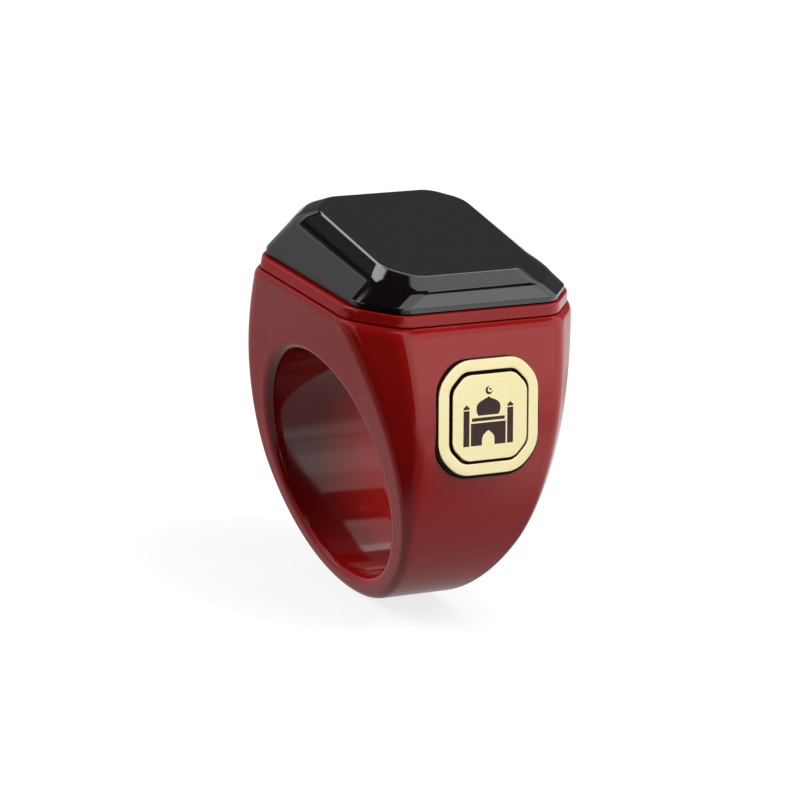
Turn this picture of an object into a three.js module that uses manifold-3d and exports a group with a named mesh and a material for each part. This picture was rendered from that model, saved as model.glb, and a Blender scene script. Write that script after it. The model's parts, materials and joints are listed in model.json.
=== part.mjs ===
// Smart counter ring: a finger ring with a faceted display head and a push button on its side.
// Millimetres. +Z points out through the head, +Y runs along the finger, +X is the button side.
// The origin is the centre of the finger bore.

import * as THREE from 'three';
import { mergeVertices } from 'three/addons/utils/BufferGeometryUtils.js';
import Module from 'manifold-3d';

const wasm = await Module();
wasm.setup();

// Clearances
const seatGap = 0.3;
const slipGap = 0.15;
const contactGap = 0.05;

// Finger bore and band
const boreRadius = 10;
const boreLipRadius = 0.8;
const bandThickness = 1.93;
const bandHalfDepth = 3.57;
const bandEdgeCut = 0.4;
const bandEdgeSoftening = 0.28;

// Sides of the ring, seen along the finger
const sideThickness = 3.88;
const widestHeight = 5.2;
const lowerSideHandles = [0.6, 0.56];
const upperSideHandles = [0.34, 0.565, 0.69];
const depthShares = [0, 0.375, 0.59, 1];

// Corners between the sides and the front faces, which widen towards the head
const cornerCutStart = -3.86;
const cornerCutGrowth = 1.33;
const headCornerSoftening = 1.2;

// Stack over the bore, from the bore roof to the shoulder
const roofThickness = 1.2;
const batteryPadThickness = 0.6;
const batteryThickness = 2.2;
const batteryHeadroom = 0.4;
const boardThickness = 0.8;
const boardToShoulder = 0.5;

// Chamber in the head
const chamberStep = 0.45;
const boardLedgeWidth = 1.2;

// Shoulder and the rim frame above its groove
const shoulderStepSide = 0.22;
const shoulderStepEnd = 0.37;
const shoulderCornerCut = 3.58;
const shoulderRoundWidth = 0.27;
const shoulderRoundHeight = 0.8;
const rimPlateThickness = 0.4;
const rimLedgeSide = 0.25;
const rimLedgeEnd = 0.6;
const rimRise = 1.08;
const rimLean = 0.08;
const rimEdgeRound = 0.12;
const rimCornerCut = 3.5;
const rimSoftening = 1.2;
const grooveHeight = 0.14;
const grooveDepth = 0.5;
const rimLipDepth = 0.8;
const rimLipThickness = 0.6;
const gasketThickness = 0.2;

// Window: foot with an upright edge over a narrow neck, then the crest and the sloping top
const windowHalfWidth = 10.6;
const windowHalfDepth = 10.45;
const windowCornerCut = 2.9;
const windowLift = 0.12;
const windowNeckInset = 0.3;
const windowFootEdge = 0.45;
const windowFootWidth = 1.5;
const crestRise = 2.43;
const crestSlopeDegrees = 6.8;
const crestInsetButtonSide = 0.35;
const crestInsetFarSide = 1.77;
const crestInsetDepth = 1.84;
const crestCornerCut = 2.65;
const topRise = 3.34;
const windowSlopeDegrees = 8.65;
const bevelWidthButtonSide = 1.72;
const bevelWidthFarSide = 1.79;
const bevelWidthDepth = 1.3;
const topCornerCut = 2.2;
const crestRound = 0.3;
const topEdgeRound = 0.14;
const footSoftening = 0.9;
const crestSoftening = 1.1;
const topSoftening = 1;
const windowThickness = 1.3;
const windowWall = 0.9;

// Display
const panelSideRoom = 0.725;
const panelEndRoom = 0.97;
const panelThickness = 1.1;
const carrierMargin = 0.6;
const carrierBorder = 1.4;
const carrierLegHeight = 0.8;
const carrierLegSize = 1.5;
const flexThickness = 0.15;
const displayFlexWidth = 5;
const displayFlexReach = 1;

// Battery and motor
const batteryWallGap = 0.9;
const batteryEndGap = 3.45;
const batteryMotorGap = 0.8;
const batteryTabWidth = 1.2;
const batteryTabPitch = 5;
const motorRadius = 2.5;
const motorHeight = 2.1;
const motorWallGap = 0.9;
const motorCornerGap = 0.4;

// Charge contacts in the bore roof
const contactPitch = 2.54;
const contactRadius = 0.6;
const contactProud = 0.08;
const chargePadWidth = 4.4;
const chargePadDepth = 5.6;
const chargePadFlange = 0.3;
const chargePadFlangeWidth = 0.6;
const chargePadCornerCut = 0.8;
const chargeFlexWidth = 3.8;

// Push button: bezel, cap and what lies behind them
const buttonHeight = 8.37;
const buttonLeanDegrees = 10;
const bezelProud = 0.03;
const bezelHalfWidth = 4.96;
const bezelHalfHeight = 4.93;
const bezelCornerCut = 1.95;
const bezelSoftening = 1;
const bezelBorder = 1;
const capGap = 0.25;
const capCornerCut = 2;
const capSoftening = 0.35;
const bezelThickness = 1.25;
const bezelLipThickness = 0.55;
const bezelSkirtThickness = 0.45;
const edgeBreak = 0.12;
const buttonRecess = 0.03;
const buttonTravel = 0.3;
const buttonFlangeThickness = 0.3;
const buttonFlangeWidth = 0.5;
const plungerRadius = 1.2;
const plungerLength = 0.9;
const sealThickness = 0.3;
const domeRadius = 0.8;
const domeHeight = 0.25;
const switchWidth = 3.2;
const switchHeight = 2.6;
const switchThickness = 0.8;
const switchBoardHalfWidth = 2.6;
const switchBoardThickness = 0.4;
const switchPocketMargin = 0.6;
const switchPocketCornerCut = 0.5;
const switchFlexWidth = 2.4;
const flexChannelHeight = 1.1;

// Parts on the main board: standard sizes, and places as shares of the board's half sizes
const boardParts = [
  { name: 'controller_chip', width: 4.6, depth: 4.6, height: 0.8, across: -0.16, along: 0 },
  { name: 'flash_memory', width: 2.4, depth: 3, height: 0.55, across: 0.4, along: 0.28 },
  { name: 'motion_sensor', width: 2.5, depth: 3, height: 0.7, across: 0.4, along: -0.26 },
  { name: 'charger_chip', width: 2, depth: 1.6, height: 0.6, across: -0.16, along: -0.44 },
  { name: 'timing_crystal', width: 2, depth: 1.6, height: 0.5, across: -0.16, along: 0.44 },
  { name: 'chip_antenna', width: 5, depth: 1.3, height: 0.6, across: 0.12, along: 0.85 },
];
const capacitorCount = 4;
const capacitorSpread = 0.78;
const capacitorAlong = -0.85;
const capacitorWidth = 1;
const capacitorDepth = 0.5;
const capacitorHeight = 0.5;
const connectorWidth = 1.2;
const connectorDepth = 5.6;
const connectorHeight = 0.6;

// Heights that follow
const bandBottom = -(boreRadius + bandThickness);
const chamberFloor = boreRadius + roofThickness;
const batteryBottom = chamberFloor + batteryPadThickness;
const batteryTop = batteryBottom + batteryThickness;
const boardBottom = batteryTop + batteryHeadroom;
const boardTop = boardBottom + boardThickness;
const shoulderHeight = boardTop + boardToShoulder;
const rimSeat = shoulderHeight + rimPlateThickness;
const rimTop = shoulderHeight + rimRise;
const windowBottom = rimSeat + gasketThickness;
const footHeight = rimTop + windowLift;
const footEdgeHeight = footHeight + windowFootEdge;
const crestHeight = footEdgeHeight + crestRise;
const topHeight = footEdgeHeight + topRise;
const crestSlope = Math.tan(THREE.MathUtils.degToRad(crestSlopeDegrees));
const slopeAngle = THREE.MathUtils.degToRad(windowSlopeDegrees);
const slope = Math.tan(slopeAngle);

// Widths that follow. A cut corner moved inwards gets shorter by a share of the move.
const cutShrink = 2 - Math.SQRT2;
const rimHalfWidth = windowHalfWidth + rimLedgeSide + rimLean;
const rimHalfDepth = windowHalfDepth + rimLedgeEnd + rimLean;
const shoulderHalfWidth = rimHalfWidth + shoulderStepSide;
const shoulderHalfDepth = rimHalfDepth + shoulderStepEnd;
const widestHalfWidth = boreRadius + sideThickness;
const chamberInset = windowFootWidth + chamberStep;
const chamberHalfWidth = windowHalfWidth - chamberInset;
const chamberHalfDepth = windowHalfDepth - chamberInset;
const chamberCornerCut = windowCornerCut - chamberInset * cutShrink;
const chamberSoftening = 0.3;
const lowerChamberCut = chamberCornerCut + boardLedgeWidth * Math.SQRT2;
const boardHalfWidth = chamberHalfWidth - slipGap;
const boardHalfDepth = chamberHalfDepth - slipGap;

// Depths behind the bezel's face, all measured inwards
const buttonFlangeTop = bezelLipThickness + seatGap;
const buttonBack = buttonFlangeTop + buttonFlangeThickness;
const bezelPocketDepth = buttonBack + buttonTravel + slipGap;
const plungerTop = buttonBack + contactGap;
const plungerTip = plungerTop + plungerLength;
const sealTop = bezelPocketDepth + slipGap;
const domeTop = plungerTip + buttonTravel + contactGap;
const domeBase = domeTop + domeHeight;
const switchTop = domeBase + contactGap;
const switchBack = switchTop + switchThickness;
const switchBoardTop = switchBack + contactGap;
const switchBoardBack = switchBoardTop + switchBoardThickness;
const switchPocketDepth = switchBoardBack + contactGap;
const switchPocketHalfWidth = switchBoardHalfWidth + switchPocketMargin;

const red = { color: 0x8c2a2a, roughness: 0.18, metalness: 0 };
const black = { color: 0x0b0b0c, roughness: 0.08, metalness: 0 };
const gold = { color: 0xe8d59a, roughness: 0.3, metalness: 1 };
const rubber = { color: 0x1a1a1a, roughness: 0.8, metalness: 0 };
const darkPlastic = { color: 0x202224, roughness: 0.6, metalness: 0 };
const glass = { color: 0x101418, roughness: 0.1, metalness: 0 };
const boardGreen = { color: 0x14532d, roughness: 0.5, metalness: 0 };
const flexAmber = { color: 0xb5651d, roughness: 0.45, metalness: 0 };
const chipBlack = { color: 0x16161a, roughness: 0.5, metalness: 0 };
const ceramic = { color: 0xd8d2c4, roughness: 0.5, metalness: 0 };
const steel = { color: 0xb8bcc0, roughness: 0.3, metalness: 1 };
const pouchSilver = { color: 0xc4c6c8, roughness: 0.35, metalness: 0.8 };
const foam = { color: 0x2b2b2e, roughness: 0.95, metalness: 0 };
const partFinish = { timing_crystal: steel, chip_antenna: ceramic };

const ring = new THREE.Group();

function addPiece(group, name, geometry, finish) {
  const mesh = new THREE.Mesh(geometry, new THREE.MeshStandardMaterial(finish));
  mesh.name = name;
  group.add(mesh);
  return mesh;
}

// Solid cutting

function toManifold(geometry) {
  const bare = geometry.clone();
  bare.deleteAttribute('normal');
  bare.deleteAttribute('uv');
  const merged = mergeVertices(bare, 1e-5);
  return new wasm.Manifold(new wasm.Mesh({
    numProp: 3,
    vertProperties: new Float32Array(merged.attributes.position.array),
    triVerts: new Uint32Array(merged.index.array),
  }));
}

function cutAway(geometry, tools) {
  let solid = toManifold(geometry);
  for (const tool of tools) {
    solid = solid.subtract(toManifold(tool));
  }
  const mesh = solid.getMesh();
  const result = new THREE.BufferGeometry();
  result.setAttribute('position', new THREE.BufferAttribute(mesh.vertProperties, 3));
  result.setIndex(new THREE.BufferAttribute(mesh.triVerts, 1));
  result.computeVertexNormals();
  return result;
}

// Form making

// Skins a stack of outlines that have the same number of points, counterclockwise from above.
// A closed stack joins its last outline to its first; an open one is capped at both ends.
function loft(outlines, closed = false) {
  const count = outlines[0].length;
  const positions = outlines.flat().flatMap((point) => [point.x, point.y, point.z]);
  const indices = [];
  const steps = closed ? outlines.length : outlines.length - 1;
  for (let i = 0; i < steps; i++) {
    const low = i * count;
    const high = ((i + 1) % outlines.length) * count;
    for (let j = 0; j < count; j++) {
      const next = (j + 1) % count;
      indices.push(low + j, low + next, high + next);
      indices.push(low + j, high + next, high + j);
    }
  }
  if (!closed) {
    const last = (outlines.length - 1) * count;
    const flatten = (outline) => outline.map((point) => new THREE.Vector2(point.x, point.y));
    for (const [a, b, c] of THREE.ShapeUtils.triangulateShape(flatten(outlines[0]), [])) {
      indices.push(a, c, b);
    }
    for (const [a, b, c] of THREE.ShapeUtils.triangulateShape(flatten(outlines.at(-1)), [])) {
      indices.push(last + a, last + b, last + c);
    }
  }
  const geometry = new THREE.BufferGeometry();
  geometry.setAttribute('position', new THREE.Float32BufferAttribute(positions, 3));
  geometry.setIndex(indices);
  geometry.computeVertexNormals();
  return geometry;
}

// Skins outlines that are stacked along Y, counterclockwise when seen from the -Y side
function loftAlongY(outlines) {
  const upright = outlines.map((outline) => outline.map(
    (point) => new THREE.Vector3(point.x, -point.z, point.y),
  ));
  return loft(upright).rotateX(-Math.PI / 2);
}

// A rectangle with its corners cut at 45 degrees, and the eight new corners softened by
// short curves. Its X sides may lie at different distances, and it may slope along X.
function cutCornerOutline({ left, right, half, cut, softening, height, slope: fall = 0 }) {
  const corners = [
    [right, cut - half], [right, half - cut], [right - cut, half], [cut - left, half],
    [-left, half - cut], [-left, cut - half], [cut - left, -half], [right - cut, -half],
  ].map(([x, y]) => new THREE.Vector2(x, y));
  return corners.flatMap((corner, i) => {
    const before = corners[(i + 7) % 8];
    const after = corners[(i + 1) % 8];
    const start = before.clone().sub(corner).setLength(softening).add(corner);
    const end = after.clone().sub(corner).setLength(softening).add(corner);
    const curve = new THREE.QuadraticBezierCurve(start, corner, end);
    return curve.getPoints(2).map(({ x, y }) => new THREE.Vector3(x, y, height - fall * x));
  });
}

function levelOutline(halfWidth, halfDepth, cut, softening, height) {
  return cutCornerOutline({ left: halfWidth, right: halfWidth, half: halfDepth, cut, softening, height });
}

function cutCornerPrism(halfWidth, halfDepth, cut, softening, low, high) {
  return loft([low, high].map((z) => levelOutline(halfWidth, halfDepth, cut, softening, z)));
}

// Outlines of one cut-corner shape at several insets: the section lists [inset, height] pairs
function insetOutlines(halfWidth, halfDepth, cut, softening, section) {
  return section.map(([inset, height]) => levelOutline(
    halfWidth - inset, halfDepth - inset, cut - inset * cutShrink, softening, height,
  ));
}

function block(width, depth, low, high, x = 0, y = 0) {
  return new THREE.BoxGeometry(width, depth, high - low).translate(x, y, (low + high) / 2);
}

function upright(radius, low, high, segments, x = 0, y = 0) {
  const cylinder = new THREE.CylinderGeometry(radius, radius, high - low, segments);
  return cylinder.rotateX(Math.PI / 2).translate(x, y, (low + high) / 2);
}

// Extrudes an outline drawn in the X-Z plane over a width along Y
function extrudeAlongY(points, width) {
  const shape = new THREE.Shape(points);
  const geometry = new THREE.ExtrudeGeometry(shape, { depth: width, bevelEnabled: false });
  return geometry.rotateX(Math.PI / 2).translate(0, width / 2, 0);
}

// A flat cable seen from its side: a thin band along a path in the X-Z plane
function flatCable(path, width) {
  const middle = path.getPoints(4).filter(
    (point, i, all) => i === 0 || point.distanceTo(all[i - 1]) > contactGap,
  );
  const side = (sign) => middle.map((point, i) => {
    const before = middle[Math.max(i - 1, 0)];
    const after = middle[Math.min(i + 1, middle.length - 1)];
    const along = after.clone().sub(before).normalize();
    const across = new THREE.Vector2(-along.y, along.x);
    return across.multiplyScalar(sign * flexThickness / 2).add(point);
  });
  return extrudeAlongY([...side(-1), ...side(1).reverse()], width);
}

// Ring body: sides drawn as two curves, front faces that lean, corners that widen upwards

const lowerSide = new THREE.CubicBezierCurve(
  new THREE.Vector2(0, bandBottom),
  new THREE.Vector2(lowerSideHandles[0] * widestHalfWidth, bandBottom),
  new THREE.Vector2(widestHalfWidth, THREE.MathUtils.lerp(widestHeight, bandBottom, lowerSideHandles[1])),
  new THREE.Vector2(widestHalfWidth, widestHeight),
);
const upperSide = new THREE.CubicBezierCurve(
  new THREE.Vector2(widestHalfWidth, widestHeight),
  new THREE.Vector2(widestHalfWidth, THREE.MathUtils.lerp(widestHeight, shoulderHeight, upperSideHandles[0])),
  new THREE.Vector2(
    THREE.MathUtils.lerp(shoulderHalfWidth, widestHalfWidth, upperSideHandles[1]),
    THREE.MathUtils.lerp(widestHeight, shoulderHeight, upperSideHandles[2]),
  ),
  new THREE.Vector2(shoulderHalfWidth, shoulderHeight),
);
const sideSamples = [...lowerSide.getPoints(60), ...upperSide.getPoints(60).slice(1)];

function sideHalfWidthAt(z) {
  const i = sideSamples.findIndex((sample) => sample.y >= z);
  const above = sideSamples[i];
  const below = sideSamples[i - 1];
  return THREE.MathUtils.mapLinear(z, below.y, above.y, below.x, above.x);
}

function distanceToSide(x, z) {
  const point = new THREE.Vector2(x, z);
  return Math.min(...sideSamples.map((sample) => sample.distanceTo(point)));
}

// Half the depth along the finger at a height: the ring widens from the band to the shoulder
const depthCurve = depthShares.map(
  (share) => THREE.MathUtils.lerp(bandHalfDepth, shoulderHalfDepth, share),
);

function halfDepthAt(z) {
  const s = (z - bandBottom) / (shoulderHeight - bandBottom);
  const r = 1 - s;
  const [low, lowHandle, highHandle, high] = depthCurve;
  return low * r ** 3 + 3 * lowHandle * s * r ** 2 + 3 * highHandle * s ** 2 * r + high * s ** 3;
}

// The corner between a side and a front face, as [distance in from the side, loss of depth]
function cornerSection(z) {
  const start = cornerCutStart;
  const share = THREE.MathUtils.clamp((z - start) / (shoulderHeight - start), 0, 1) ** cornerCutGrowth;
  const cut = THREE.MathUtils.lerp(bandEdgeCut, shoulderCornerCut, share);
  const softening = THREE.MathUtils.lerp(bandEdgeSoftening, headCornerSoftening, share);
  const slanted = softening * Math.SQRT1_2;
  const round = new THREE.QuadraticBezierCurve(
    new THREE.Vector2(cut + softening, 0),
    new THREE.Vector2(cut, 0),
    new THREE.Vector2(cut - slanted, slanted),
  ).getPoints(2);
  const nearSide = round.map((point) => [point.y, point.x]);
  const nearFront = round.reverse().map((point) => [point.x, point.y]);
  return [...nearSide, ...nearFront];
}

function depthLoss(section, distance) {
  const i = section.findIndex(([limit]) => distance < limit);
  if (i < 1) {
    return i < 0 ? 0 : section[0][1];
  }
  const [nearDistance, nearLoss] = section[i - 1];
  const [farDistance, farLoss] = section[i];
  return THREE.MathUtils.mapLinear(distance, nearDistance, farDistance, nearLoss, farLoss);
}

// One level of the body. Its corners follow the corner section where there is room for it,
// and are spread evenly over the thin levels near the lowest point.
function bodyLevel({ halfWidth, z, sideways, inset }) {
  const section = cornerSection(z);
  const halfDepth = halfDepthAt(z) - inset;
  const quarter = section.map(([distance], i) => {
    const step = Math.min(distance / sideways, halfWidth * i / section.length);
    const loss = i === 0 ? section[0][1] : depthLoss(section, distanceToSide(halfWidth - step, z));
    return { x: halfWidth - inset - step, y: halfDepth - loss };
  });
  const mirrored = [...quarter].reverse();
  return [
    ...quarter.map(({ x, y }) => new THREE.Vector3(x, y, z)),
    ...mirrored.map(({ x, y }) => new THREE.Vector3(-x, y, z)),
    ...quarter.map(({ x, y }) => new THREE.Vector3(-x, -y, z)),
    ...mirrored.map(({ x, y }) => new THREE.Vector3(x, -y, z)),
  ];
}

function levelsAlong(curve, from, to, count) {
  return Array.from({ length: count }, (_, i) => {
    const t = THREE.MathUtils.lerp(from, to, i / (count - 1));
    const { x, y } = curve.getPoint(t);
    const sideways = Math.max(Math.abs(curve.getTangent(t).y), 0.05);
    return bodyLevel({ halfWidth: x, z: y, sideways, inset: 0 });
  });
}

function shoulderLevels() {
  return [0, Math.PI / 6, Math.PI / 3, Math.PI / 2].map((angle) => {
    const z = shoulderHeight - shoulderRoundHeight * (1 - Math.sin(angle));
    const inset = shoulderRoundWidth * (1 - Math.cos(angle));
    return bodyLevel({ halfWidth: sideHalfWidthAt(z), z, sideways: 1, inset });
  });
}

// The bore, flared at both mouths into a rounded lip that follows the leaning front faces
function boreTool() {
  const facets = 72;
  const overshoot = 3;
  const lipAngles = [0, 20, 40, 58, 74].map(THREE.MathUtils.degToRad);
  const lip = lipAngles.map((angle) => ({
    radius: boreRadius + boreLipRadius * (1 - Math.cos(angle)),
    below: boreLipRadius * (1 - Math.sin(angle)),
  }));
  const circle = (radius, depthAt) => Array.from({ length: facets }, (_, i) => {
    const angle = -i * 2 * Math.PI / facets;
    const z = radius * Math.sin(angle);
    return new THREE.Vector3(radius * Math.cos(angle), depthAt(z), z);
  });
  const outside = shoulderHalfDepth + overshoot;
  const mouth = (side) => [
    ...lip.map(({ radius, below }) => circle(radius, (z) => side * (halfDepthAt(z) - below))),
    circle(lip.at(-1).radius, () => side * outside),
  ];
  return loftAlongY([...mouth(-1).reverse(), ...mouth(1)]);
}

// Button frame: its Z axis points out of the side of the ring, its Y axis up along the side
const buttonLean = THREE.MathUtils.degToRad(buttonLeanDegrees);
const buttonGroup = new THREE.Group();
buttonGroup.position.set(sideHalfWidthAt(buttonHeight) + bezelProud, 0, buttonHeight);
buttonGroup.quaternion.setFromRotationMatrix(new THREE.Matrix4().makeBasis(
  new THREE.Vector3(0, 1, 0),
  new THREE.Vector3(-Math.sin(buttonLean), 0, Math.cos(buttonLean)),
  new THREE.Vector3(Math.cos(buttonLean), 0, Math.sin(buttonLean)),
));
buttonGroup.updateMatrix();
ring.add(buttonGroup);

const switchFlexHeight = chamberFloor + flexChannelHeight / 2;
const switchFlexDrop = chamberHalfWidth - seatGap - flexThickness;

function headTools() {
  const above = shoulderHeight + 1;
  const mouthInset = windowFootWidth - rimLipThickness - slipGap;
  const mouthCut = windowCornerCut - mouthInset * cutShrink;
  const lowerChamber = cutCornerPrism(
    chamberHalfWidth, chamberHalfDepth, lowerChamberCut, chamberSoftening,
    chamberFloor, boardBottom + boardThickness,
  );
  const upperChamber = cutCornerPrism(
    chamberHalfWidth, chamberHalfDepth, chamberCornerCut, chamberSoftening, boardBottom, above,
  );
  const mouth = cutCornerPrism(
    windowHalfWidth - mouthInset, windowHalfDepth - mouthInset, mouthCut, chamberSoftening,
    shoulderHeight - rimLipDepth - slipGap, above,
  );
  const padHole = block(
    chargePadWidth + 2 * slipGap, chargePadDepth + 2 * slipGap, boreRadius - roofThickness, batteryBottom,
  );
  return [lowerChamber, upperChamber, mouth, padHole];
}

function buttonTools() {
  const bezelPocket = cutCornerPrism(
    bezelHalfWidth + slipGap, bezelHalfHeight + slipGap, bezelCornerCut + slipGap * cutShrink, bezelSoftening,
    -bezelPocketDepth, sideThickness,
  ).applyMatrix4(buttonGroup.matrix);
  const switchPocket = cutCornerPrism(
    switchPocketHalfWidth, switchPocketHalfWidth, switchPocketCornerCut, edgeBreak,
    -switchPocketDepth, -buttonBack,
  ).applyMatrix4(buttonGroup.matrix);
  const innerEnd = chamberHalfWidth - chamberStep;
  const outerEnd = switchBoardEdge.x + 2 * seatGap;
  const channel = block(
    outerEnd - innerEnd, switchFlexWidth + 2 * seatGap,
    switchBoardEdge.z, chamberFloor + flexChannelHeight, (innerEnd + outerEnd) / 2,
  );
  return [bezelPocket, switchPocket, channel];
}

const switchBoardEdge = new THREE.Vector3(
  0, switchBoardHalfWidth, -(switchBoardTop + switchBoardBack) / 2,
).applyMatrix4(buttonGroup.matrix);

const outerBody = loft([
  ...levelsAlong(lowerSide, 0.05, 1, 20),
  ...levelsAlong(upperSide, 0.12, 0.96, 8),
  ...shoulderLevels(),
]);
addPiece(ring, 'ring_body', cutAway(outerBody, [boreTool(), ...headTools(), ...buttonTools()]), red);

// Rim frame and gasket

// The rim's outer side and foot follow its own outline, and its inner side the window's foot
const rimOutlines = (section) => insetOutlines(
  rimHalfWidth, rimHalfDepth, rimCornerCut, rimSoftening, section,
);
const footOutlines = (section) => insetOutlines(
  windowHalfWidth, windowHalfDepth, windowCornerCut, footSoftening, section,
);
const rimGeometry = loft([
  ...rimOutlines([
    [grooveDepth, shoulderHeight],
    [grooveDepth, shoulderHeight + grooveHeight],
    [0, shoulderHeight + grooveHeight],
    [rimLean, rimTop - rimEdgeRound],
    [rimLean + rimEdgeRound, rimTop],
  ]),
  ...footOutlines([
    [windowNeckInset - slipGap, rimTop],
    [windowNeckInset - slipGap, rimSeat],
    [windowFootWidth, rimSeat],
    [windowFootWidth, shoulderHeight - rimLipDepth],
    [windowFootWidth - rimLipThickness, shoulderHeight - rimLipDepth],
    [windowFootWidth - rimLipThickness, shoulderHeight],
  ]),
], true);
addPiece(ring, 'rim_frame', rimGeometry, red);

const gasketGeometry = loft(footOutlines([
  [windowNeckInset + contactGap, rimSeat],
  [windowNeckInset + contactGap, windowBottom],
  [windowFootWidth - contactGap, windowBottom],
  [windowFootWidth - contactGap, rimSeat],
]), true);
addPiece(ring, 'window_gasket', gasketGeometry, rubber);

// Window: a hollow cap whose crest and top both slope down towards the button side

function mix(a, b, t) {
  return Object.fromEntries(Object.keys(a).map((key) => [key, THREE.MathUtils.lerp(a[key], b[key], t)]));
}

const windowFoot = {
  left: windowHalfWidth,
  right: windowHalfWidth,
  half: windowHalfDepth,
  cut: windowCornerCut,
  softening: footSoftening,
  height: footHeight,
  slope: 0,
};
const windowFootTop = { ...windowFoot, height: footEdgeHeight };
const windowCrest = {
  left: windowHalfWidth - crestInsetFarSide,
  right: windowHalfWidth - crestInsetButtonSide,
  half: windowHalfDepth - crestInsetDepth,
  cut: crestCornerCut,
  softening: crestSoftening,
  height: crestHeight,
  slope: crestSlope,
};
const windowTop = {
  left: windowCrest.left - bevelWidthFarSide,
  right: windowCrest.right - bevelWidthButtonSide,
  half: windowCrest.half - bevelWidthDepth,
  cut: topCornerCut,
  softening: topSoftening,
  height: topHeight,
  slope,
};

function insetShape(shape, inset, height, fall) {
  return {
    ...shape,
    left: shape.left - inset,
    right: shape.right - inset,
    half: shape.half - inset,
    cut: shape.cut - inset * cutShrink,
    height,
    slope: fall,
  };
}

// Three outlines that round an edge between the shapes below and above it
function roundedEdge(below, edge, above, shareBelow, shareAbove) {
  const start = mix(edge, below, shareBelow);
  const end = mix(edge, above, shareAbove);
  return [start, mix(mix(start, end, 0.5), edge, 0.5), end];
}

const ceilingHeight = topHeight - windowThickness;
const windowShapes = [
  insetShape(windowTop, windowWall, ceilingHeight, slope),
  insetShape(windowFoot, windowFootWidth, windowBottom, 0),
  insetShape(windowFoot, windowNeckInset, windowBottom, 0),
  insetShape(windowFoot, windowNeckInset, footHeight, 0),
  windowFoot,
  windowFootTop,
  ...roundedEdge(
    windowFootTop, windowCrest, windowTop, crestRound / crestRise, crestRound / bevelWidthDepth,
  ),
  ...roundedEdge(
    windowCrest, windowTop, insetShape(windowTop, topEdgeRound, topHeight, slope),
    topEdgeRound / bevelWidthDepth, 1,
  ),
];
addPiece(ring, 'display_window', loft(windowShapes.map(cutCornerOutline)), black);

// Display panel, held parallel to the window by a wedge-shaped carrier

const panelX = (windowTop.right - windowTop.left) / 2;
const panelWidth = windowTop.left + windowTop.right - 2 * (windowWall + panelSideRoom);
const panelDepth = 2 * (windowTop.half - windowWall - panelEndRoom);
const panelGroup = new THREE.Group();
panelGroup.position.set(
  panelX - Math.sin(slopeAngle) * seatGap,
  0,
  ceilingHeight - slope * panelX - Math.cos(slopeAngle) * seatGap,
);
panelGroup.rotation.y = slopeAngle;
panelGroup.updateMatrix();
ring.add(panelGroup);
addPiece(panelGroup, 'display_panel', block(panelWidth, panelDepth, -panelThickness, 0), glass);

const carrierHalfWidth = panelWidth / 2 + carrierMargin;
const carrierHalfDepth = panelDepth / 2 + carrierMargin;
const carrierBottom = boardTop + carrierLegHeight;

function carrierTopAt(x) {
  return ceilingHeight - slope * x - (panelThickness + 2 * seatGap) / Math.cos(slopeAngle);
}

function carrierGeometry() {
  const left = panelX - carrierHalfWidth;
  const right = panelX + carrierHalfWidth;
  const wedge = extrudeAlongY([
    new THREE.Vector2(left, boardTop),
    new THREE.Vector2(right, boardTop),
    new THREE.Vector2(right, carrierTopAt(right)),
    new THREE.Vector2(left, carrierTopAt(left)),
  ], 2 * carrierHalfDepth);
  const width = 2 * carrierHalfWidth;
  const depth = 2 * carrierHalfDepth;
  const below = boardTop - 1;
  return cutAway(wedge, [
    block(width - 2 * carrierBorder, depth - 2 * carrierBorder, below, topHeight, panelX),
    block(width - 2 * carrierLegSize, depth + 2, below, carrierBottom, panelX),
    block(width + 2, depth - 2 * carrierLegSize, below, carrierBottom, panelX),
  ]);
}
addPiece(ring, 'display_carrier', carrierGeometry(), darkPlastic);

const panelEnd = new THREE.Vector3(-panelWidth / 2 - contactGap, 0, -panelThickness / 2)
  .applyMatrix4(panelGroup.matrix);
const displayFlexX = panelEnd.x - displayFlexReach;
const connectorTop = boardTop + connectorHeight;
const displayFlexPath = new THREE.Path();
displayFlexPath.moveTo(panelEnd.x, panelEnd.z);
displayFlexPath.quadraticCurveTo(displayFlexX, panelEnd.z, displayFlexX, panelEnd.z - displayFlexReach);
displayFlexPath.lineTo(displayFlexX, connectorTop + contactGap);
addPiece(ring, 'display_flex', flatCable(displayFlexPath, displayFlexWidth), flexAmber);

// Main board and its parts

const boardGeometry = cutCornerPrism(
  boardHalfWidth, boardHalfDepth, chamberCornerCut, chamberSoftening, boardBottom, boardTop,
);
addPiece(ring, 'main_board', boardGeometry, boardGreen);

for (const { name, width, depth, height, across, along } of boardParts) {
  const x = across * boardHalfWidth;
  const y = along * boardHalfDepth;
  const geometry = block(width, depth, boardTop, boardTop + height, x, y);
  addPiece(ring, name, geometry, partFinish[name] ?? chipBlack);
}

const connectorGeometry = block(connectorWidth, connectorDepth, boardTop, connectorTop, displayFlexX);
addPiece(ring, 'display_connector', connectorGeometry, ceramic);

const capacitorReach = capacitorSpread * boardHalfWidth / 2;
const capacitorY = capacitorAlong * boardHalfDepth;
for (let i = 0; i < capacitorCount; i++) {
  const x = THREE.MathUtils.lerp(-capacitorReach, capacitorReach, i / (capacitorCount - 1));
  const geometry = block(capacitorWidth, capacitorDepth, boardTop, boardTop + capacitorHeight, x, capacitorY);
  addPiece(ring, `capacitor_${i + 1}`, geometry, ceramic);
}

// Battery with its pad and tabs, and the vibration motor

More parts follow.
